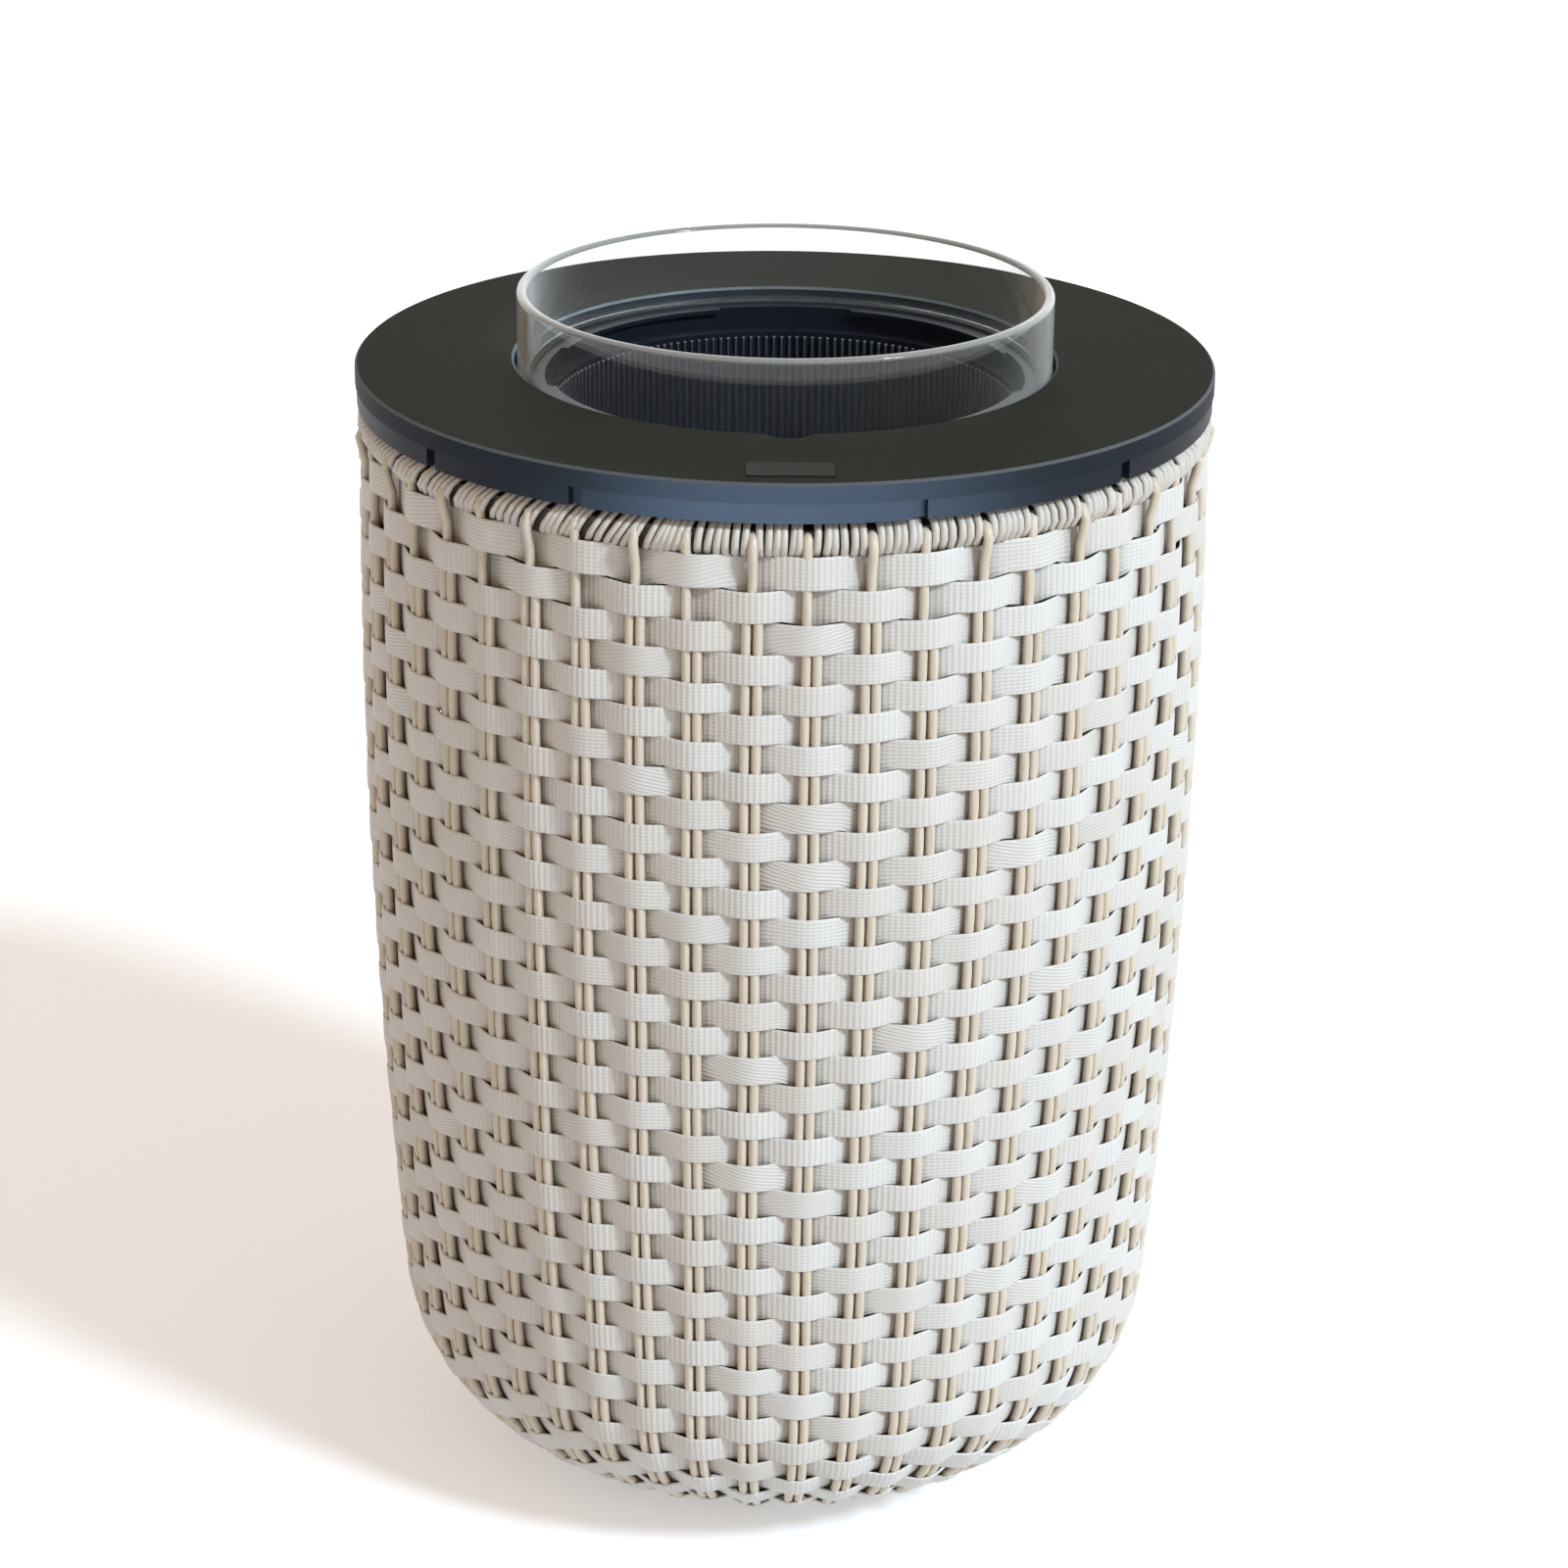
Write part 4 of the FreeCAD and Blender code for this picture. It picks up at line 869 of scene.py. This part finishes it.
def make_wrap(sizes):
    """One closed turn of strand round the rim hoop at the front."""
    bpy.ops.object.select_all(action="DESELECT")
    bpy.ops.mesh.primitive_torus_add(major_segments=WRAP_STEPS, minor_segments=WRAP_SIDES,
                                     major_radius=1.0, minor_radius=0.25)
    wrap = fresh("wrap")
    low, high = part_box("woven_border")
    foot = low.z - WRAP_TUCK
    points = points_of(wrap.data)
    travel = np.arctan2(points[:, 1], points[:, 0])
    rim = np.hypot(points[:, 0], points[:, 1]) - 1.0
    radius = sizes.wrap_width / 2
    across_out = rim / 0.25 * radius
    around = points[:, 2] / 0.25 * radius
    middle = ((high.x + BORDER_INNER) / 2, (high.z + foot) / 2)
    half = ((high.x - BORDER_INNER) / 2 - radius, (high.z - foot) / 2 - radius)
    cosine, sine = np.cos(travel), np.sin(travel)
    share = (np.abs(cosine) ** SQUARENESS + np.abs(sine) ** SQUARENESS) ** (-1 / SQUARENESS)
    normal = np.stack([np.sign(cosine) * np.abs(cosine * share) ** (SQUARENESS - 1),
                       np.sign(sine) * np.abs(sine * share) ** (SQUARENESS - 1)], axis=1)
    normal /= np.linalg.norm(normal, axis=1)[:, None]
    reach = middle[0] + half[0] * cosine * share + normal[:, 0] * across_out
    height = middle[1] + half[1] * sine * share + normal[:, 1] * across_out
    # Under the hoop the wraps pass behind the first band
    reach -= 0.0055 * smooth_step((low.z + 0.0055 - height) / 0.006) * (cosine > 0)
    set_points(wrap.data, np.stack([around, -reach, height], axis=1))
    # Painted shade where the wraps pass behind the first band and on their side facing the hoop
    shaded_low_part = smooth_step((low.z + 0.004 - height) / 0.006) * (cosine > 0)
    store(wrap.data, "painted_shade", np.maximum(shaded_low_part, smooth_step(-0.3 - rim / 0.25)))
    corners = corner_vertices(wrap.data)
    store_uv(wrap.data, np.arctan2(points[:, 2], rim)[corners] * 2.0,
             (travel[corners] % FULL_TURN) * 9.5)
    return wrap


class COOLER_OT_border(bpy.types.Operator):
    """Wrap the border strand round the rim hoop"""

    bl_idname = "cooler_table.border"
    bl_label = "Wrap Border"

    def execute(self, context):
        sizes = context.scene.cooler_table_sizes
        colours = context.scene.cooler_table_colours
        material = strand_finish("extruded_polyethylene_border_strand", colours.border,
                                 colours.border_dark)
        chance = np.random.RandomState(3)
        wrap = make_wrap(sizes)
        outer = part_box("woven_border")[1].x
        spacing = FULL_TURN / sizes.stakes
        slot = sizes.wrap_gap / outer
        # The slots are over the strands that climb there, left of every second stake
        middles = [FIRST_STAKE + stake * spacing - (1 - stake % 2) * sizes.pair_offset / outer
                   for stake in range(sizes.stakes + 1)]
        laid = []
        for stake in range(sizes.stakes):
            first = middles[stake] + slot / 2
            room = middles[stake + 1] - slot / 2 - first
            for number in range(sizes.wraps):
                turn = first + (number + 0.5) / sizes.wraps * room
                turn += chance.uniform(-0.0009, 0.0009)
                copy = copy_of(wrap, "wrap_%d_%d" % (stake, number))
                points = points_of(copy.data)
                # The wraps stand nearly upright at the front and lean more on the left
                lean = WRAP_LEAN * smooth_step((-math.sin(turn) - 0.08) / 0.35) + 0.0004
                lean += chance.uniform(-0.0011, 0.0011)
                points[:, 0] += lean * (points[:, 2] - WALL_TOP) / 0.017
                points[:, 1] -= chance.uniform(-0.0003, 0.0002)
                cosine, sine = math.cos(turn), math.sin(turn)
                turned = np.stack([points[:, 0] * cosine - points[:, 1] * sine,
                                   points[:, 0] * sine + points[:, 1] * cosine,
                                   points[:, 2]], axis=1)
                set_points(copy.data, turned)
                laid.append(copy)
        bpy.data.objects.remove(wrap)
        piece = join(laid, "border_wraps")
        in_edit_mode(piece, lambda: bpy.ops.mesh.normals_make_consistent(inside=False))
        finish_piece(piece, "basket", material, ("woven_border",))
        return {"FINISHED"}


COIL_TURNS = 9
COIL_STEPS = 40


class COOLER_OT_base_coil(bpy.types.Operator):
    """Coil the strand that closes the middle of the base"""

    bl_idname = "cooler_table.base_coil"
    bl_label = "Coil Base"

    def execute(self, context):
        sizes = context.scene.cooler_table_sizes
        material = strand_material(context.scene.cooler_table_colours)
        radius = sizes.strand_width / 2
        rim = float(middle_line((sizes.rows - 0.1) * sizes.row_pitch)[0])
        rise = rim / (COIL_TURNS + 0.5)
        steps = COIL_TURNS * COIL_STEPS
        coil = straight_strand("base_coil", 1.0, radius, 73)
        in_edit_mode(coil)
        select_edges(coil, lambda a, b: abs(a.z - b.z) > 0.008)
        bpy.ops.mesh.subdivide(number_cuts=round(steps / 73) - 1)
        bpy.ops.object.mode_set(mode="OBJECT")
        points = points_of(coil.data)
        travel = -points[:, 2] * COIL_TURNS * FULL_TURN
        reach = rise * 0.5 + rise * travel / FULL_TURN
        base = LINE["corner_up"] - LINE["corner"]
        around = reach + points[:, 0]
        set_points(coil.data, np.stack([around * np.cos(travel), around * np.sin(travel),
                                        base - 0.0006 + points[:, 1]], axis=1))
        corners = corner_vertices(coil.data)
        store_uv(coil.data, np.arctan2(points[:, 1], points[:, 0])[corners] * 2.15,
                 travel[corners] * 20)
        in_edit_mode(coil, lambda: bpy.ops.mesh.normals_make_consistent(inside=False))
        finish_piece(coil, "basket", material, ("woven_base",))
        return {"FINISHED"}


RIB_FOOT = 0.012      # rib's lower end over the well's floor
RIB_TOP = 0.0195      # rib's upper end under the top's face
WELL_RADIUS = 0.1036
WELL_FLOOR = 0.315


class COOLER_OT_well_ribs(bpy.types.Operator):
    """Mould the upright ribs on the wall of the ice bucket's well"""

    bl_idname = "cooler_table.well_ribs"
    bl_label = "Mould Well Ribs"

    def execute(self, context):
        sizes = context.scene.cooler_table_sizes
        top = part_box("table_ring")[1].z - RIB_TOP
        foot = WELL_FLOOR + RIB_FOOT
        bpy.ops.object.select_all(action="DESELECT")
        bpy.ops.mesh.primitive_cylinder_add(vertices=10, radius=sizes.rib_width / 2,
                                            depth=top - foot, end_fill_type="NGON",
                                            location=(0, 0, (top + foot) / 2))
        rib = fresh("rib")
        select_edges(rib, lambda a, b: abs(a.z - b.z) < 1e-6)
        bpy.ops.mesh.bevel(offset=sizes.rib_width * 0.36, segments=2, affect="EDGES")
        bpy.ops.object.mode_set(mode="OBJECT")
        points = points_of(rib.data)
        points[:, 1] *= sizes.rib_height / (sizes.rib_width / 2)
        points[:, 1] -= WELL_RADIUS
        set_points(rib.data, points)
        laid = []
        for number in range(sizes.ribs):
            turn = FULL_TURN * (number + 0.5) / sizes.ribs
            copy = copy_of(rib, "rib_%d" % number)
            cosine, sine = math.cos(turn), math.sin(turn)
            turned = np.stack([points[:, 0] * cosine - points[:, 1] * sine,
                               points[:, 0] * sine + points[:, 1] * cosine,
                               points[:, 2]], axis=1)
            set_points(copy.data, turned)
            laid.append(copy)
        bpy.data.objects.remove(rib)
        piece = join(laid, "well_ribs")
        finish_piece(piece, "ice_bucket",
                     bpy.data.materials["moulded_polypropylene"])
        return {"FINISHED"}


class COOLER_OT_glass_collar(bpy.types.Operator):
    """Form the clear glass collar with its fire-polished rim"""

    bl_idname = "cooler_table.glass_collar"
    bl_label = "Form Glass Collar"

    def execute(self, context):
        sizes = context.scene.cooler_table_sizes
        low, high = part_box("glass_ring")
        bpy.ops.object.select_all(action="DESELECT")
        bpy.ops.mesh.primitive_cylinder_add(vertices=192, radius=high.x, depth=high.z - low.z,
                                            end_fill_type="NOTHING",
                                            location=(0, 0, (low.z + high.z) / 2))
        glass = fresh("glass_collar_ring")
        modify(glass, "SOLIDIFY", thickness=0.0045, offset=-1.0, use_even_offset=True)
        for height, rounding, steps in ((high.z, sizes.glass_rim, 6),
                                        (low.z, sizes.glass_foot, 3)):
            def level(a, b):
                radial = abs(math.hypot(a.x, a.y) - math.hypot(b.x, b.y)) > 0.001
                return abs(a.z - height) < 1e-5 and abs(b.z - height) < 1e-5 and not radial
            select_edges(glass, level)
            bpy.ops.mesh.bevel(offset=rounding, segments=steps, affect="EDGES")
            bpy.ops.object.mode_set(mode="OBJECT")
        finish_piece(glass, "glass_collar",
                     material_named("fire_polished_glass", glass_finish,
                                    context.scene.cooler_table_colours),
                     ("glass_ring",))
        # The rounded rim must not bend the shading of the plain wall
        modify(glass, "WEIGHTED_NORMAL", mode="FACE_AREA", weight=100)
        return {"FINISHED"}


# Stage

CAMERA_PLACE = (0.0, -1.710, 1.008)
CAMERA_DIP = 0.3799       # radians below the level
CAMERA_ROLL = 0.0117
LENS = 91.41              # millimetres on a sensor 36 mm wide
KEY_TURN = 52.0           # degrees to the right of the front
KEY_RISE = 38.0           # degrees over the floor


class COOLER_OT_stage(bpy.types.Operator):
    """Set up the floor, the soft light and the camera"""

    bl_idname = "cooler_table.stage"
    bl_label = "Set Stage"

    def execute(self, context):
        scene = context.scene
        bpy.ops.object.select_all(action="DESELECT")
        bpy.ops.mesh.primitive_plane_add(size=12.0)
        floor = fresh("studio_floor")
        floor.data.materials.append(floor_finish(scene.cooler_table_colours))
        world = bpy.data.worlds.new("studio_world")
        world.use_nodes = True
        tree = world.node_tree
        tree.nodes.clear()
        seen = sight_rays(tree)
        # The room is warm, and darker on the left
        place = add(tree, "TexCoord", {}, {}).outputs["Generated"]
        side = add(tree, "SeparateXYZ", {}, {0: place}).outputs[0]
        share = add(tree, "MapRange", {}, {0: side, 1: -0.9, 2: 0.75}).outputs[0]
        room = mix(tree, share, (0.31, 0.168, 0.06, 1), (0.65, 0.61, 0.575, 1))
        shade = mix(tree, seen, room, (1, 1, 1, 1))
        light = add(tree, "Background", {}, {0: shade, 1: 1.0})
        add(tree, "OutputWorld", {}, {0: light.outputs[0]})
        scene.world = world
        key = bpy.data.lights.new("key_light", "SUN")
        key.energy = 2.5
        key.color = (0.74, 0.88, 1.0)
        key.angle = math.radians(9)
        lamp = bpy.data.objects.new("key_light", key)
        scene.collection.objects.link(lamp)
        turn, rise = math.radians(KEY_TURN), math.radians(KEY_RISE)
        towards = Vector((math.sin(turn) * math.cos(rise), -math.cos(turn) * math.cos(rise),
                          math.sin(rise)))
        lamp.location = towards * 2.5
        lamp.rotation_mode = "QUATERNION"
        lamp.rotation_quaternion = (-towards).to_track_quat("-Z", "Y")
        # A low bluish screen in front, which only shows in the gloss of the table's edge
        screen = bpy.data.lights.new("low_screen", "AREA")
        screen.shape = "RECTANGLE"
        screen.size, screen.size_y = 5.0, 0.45
        screen.energy = 540
        screen.color = (0.44, 0.66, 1.0)
        low_lamp = bpy.data.objects.new("low_screen", screen)
        scene.collection.objects.link(low_lamp)
        low_lamp.location = (0.5, -2.1, 0.25)
        low_lamp.rotation_euler = (math.pi / 2, 0, 0)
        low_lamp.visible_camera = False
        low_lamp.visible_diffuse = False
        low_lamp.visible_transmission = False
        lit = bpy.data.collections.new("lit_by_low_screen")
        for name in ("table_ring", "under_ring"):
            lit.objects.link(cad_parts[name])
        low_lamp.light_linking.receiver_collection = lit
        lens = bpy.data.cameras.new("camera")
        lens.sensor_width = 36.0
        lens.lens = LENS
        lens.shift_x = 0.0025
        camera = bpy.data.objects.new("camera", lens)
        scene.collection.objects.link(camera)
        camera.location = CAMERA_PLACE
        camera.rotation_mode = "QUATERNION"
        camera.rotation_quaternion = (
            Quaternion((1, 0, 0), math.pi / 2 - CAMERA_DIP)
            @ Quaternion((0, 0, 1), CAMERA_ROLL))
        scene.camera = camera
        scene.view_settings.view_transform = "Standard"
        return {"FINISHED"}


OPERATORS = (
    COOLER_OT_solid_finishes,
    COOLER_OT_woven_bands,
    COOLER_OT_woven_strands,
    COOLER_OT_border,
    COOLER_OT_base_coil,
    COOLER_OT_well_ribs,
    COOLER_OT_glass_collar,
    COOLER_OT_stage,
)


class COOLER_PT_dressing(bpy.types.Panel):
    """Buttons and settings of the cooler table"""

    bl_idname = "COOLER_PT_dressing"
    bl_label = "Cooler Table"
    bl_space_type = "VIEW_3D"
    bl_region_type = "UI"
    bl_category = "Cooler Table"

    def draw(self, context):
        for operator in OPERATORS:
            self.layout.operator(operator.bl_idname)
        for group in (context.scene.cooler_table_sizes, context.scene.cooler_table_colours):
            box = self.layout.box()
            for name in group.bl_rna.properties.keys():
                if name not in {"rna_type", "name"}:
                    box.prop(group, name)


CLASSES = (CoolerTableSizes, CoolerTableColours) + OPERATORS + (COOLER_PT_dressing,)


def register():
    """Make the settings, operators and panel known to Blender."""
    for item in CLASSES:
        bpy.utils.register_class(item)
    bpy.types.Scene.cooler_table_sizes = PointerProperty(type=CoolerTableSizes)
    bpy.types.Scene.cooler_table_colours = PointerProperty(type=CoolerTableColours)


def unregister():
    """Take them away again."""
    del bpy.types.Scene.cooler_table_colours
    del bpy.types.Scene.cooler_table_sizes
    for item in reversed(CLASSES):
        bpy.utils.unregister_class(item)


def main():
    """Build the whole dressing in order."""
    register()
    bpy.ops.cooler_table.solid_finishes()
    bpy.ops.cooler_table.woven_bands()
    bpy.ops.cooler_table.woven_strands()
    bpy.ops.cooler_table.border()
    bpy.ops.cooler_table.base_coil()
    bpy.ops.cooler_table.well_ribs()
    bpy.ops.cooler_table.glass_collar()
    bpy.ops.cooler_table.stage()


if __name__ == "__main__":
    main()
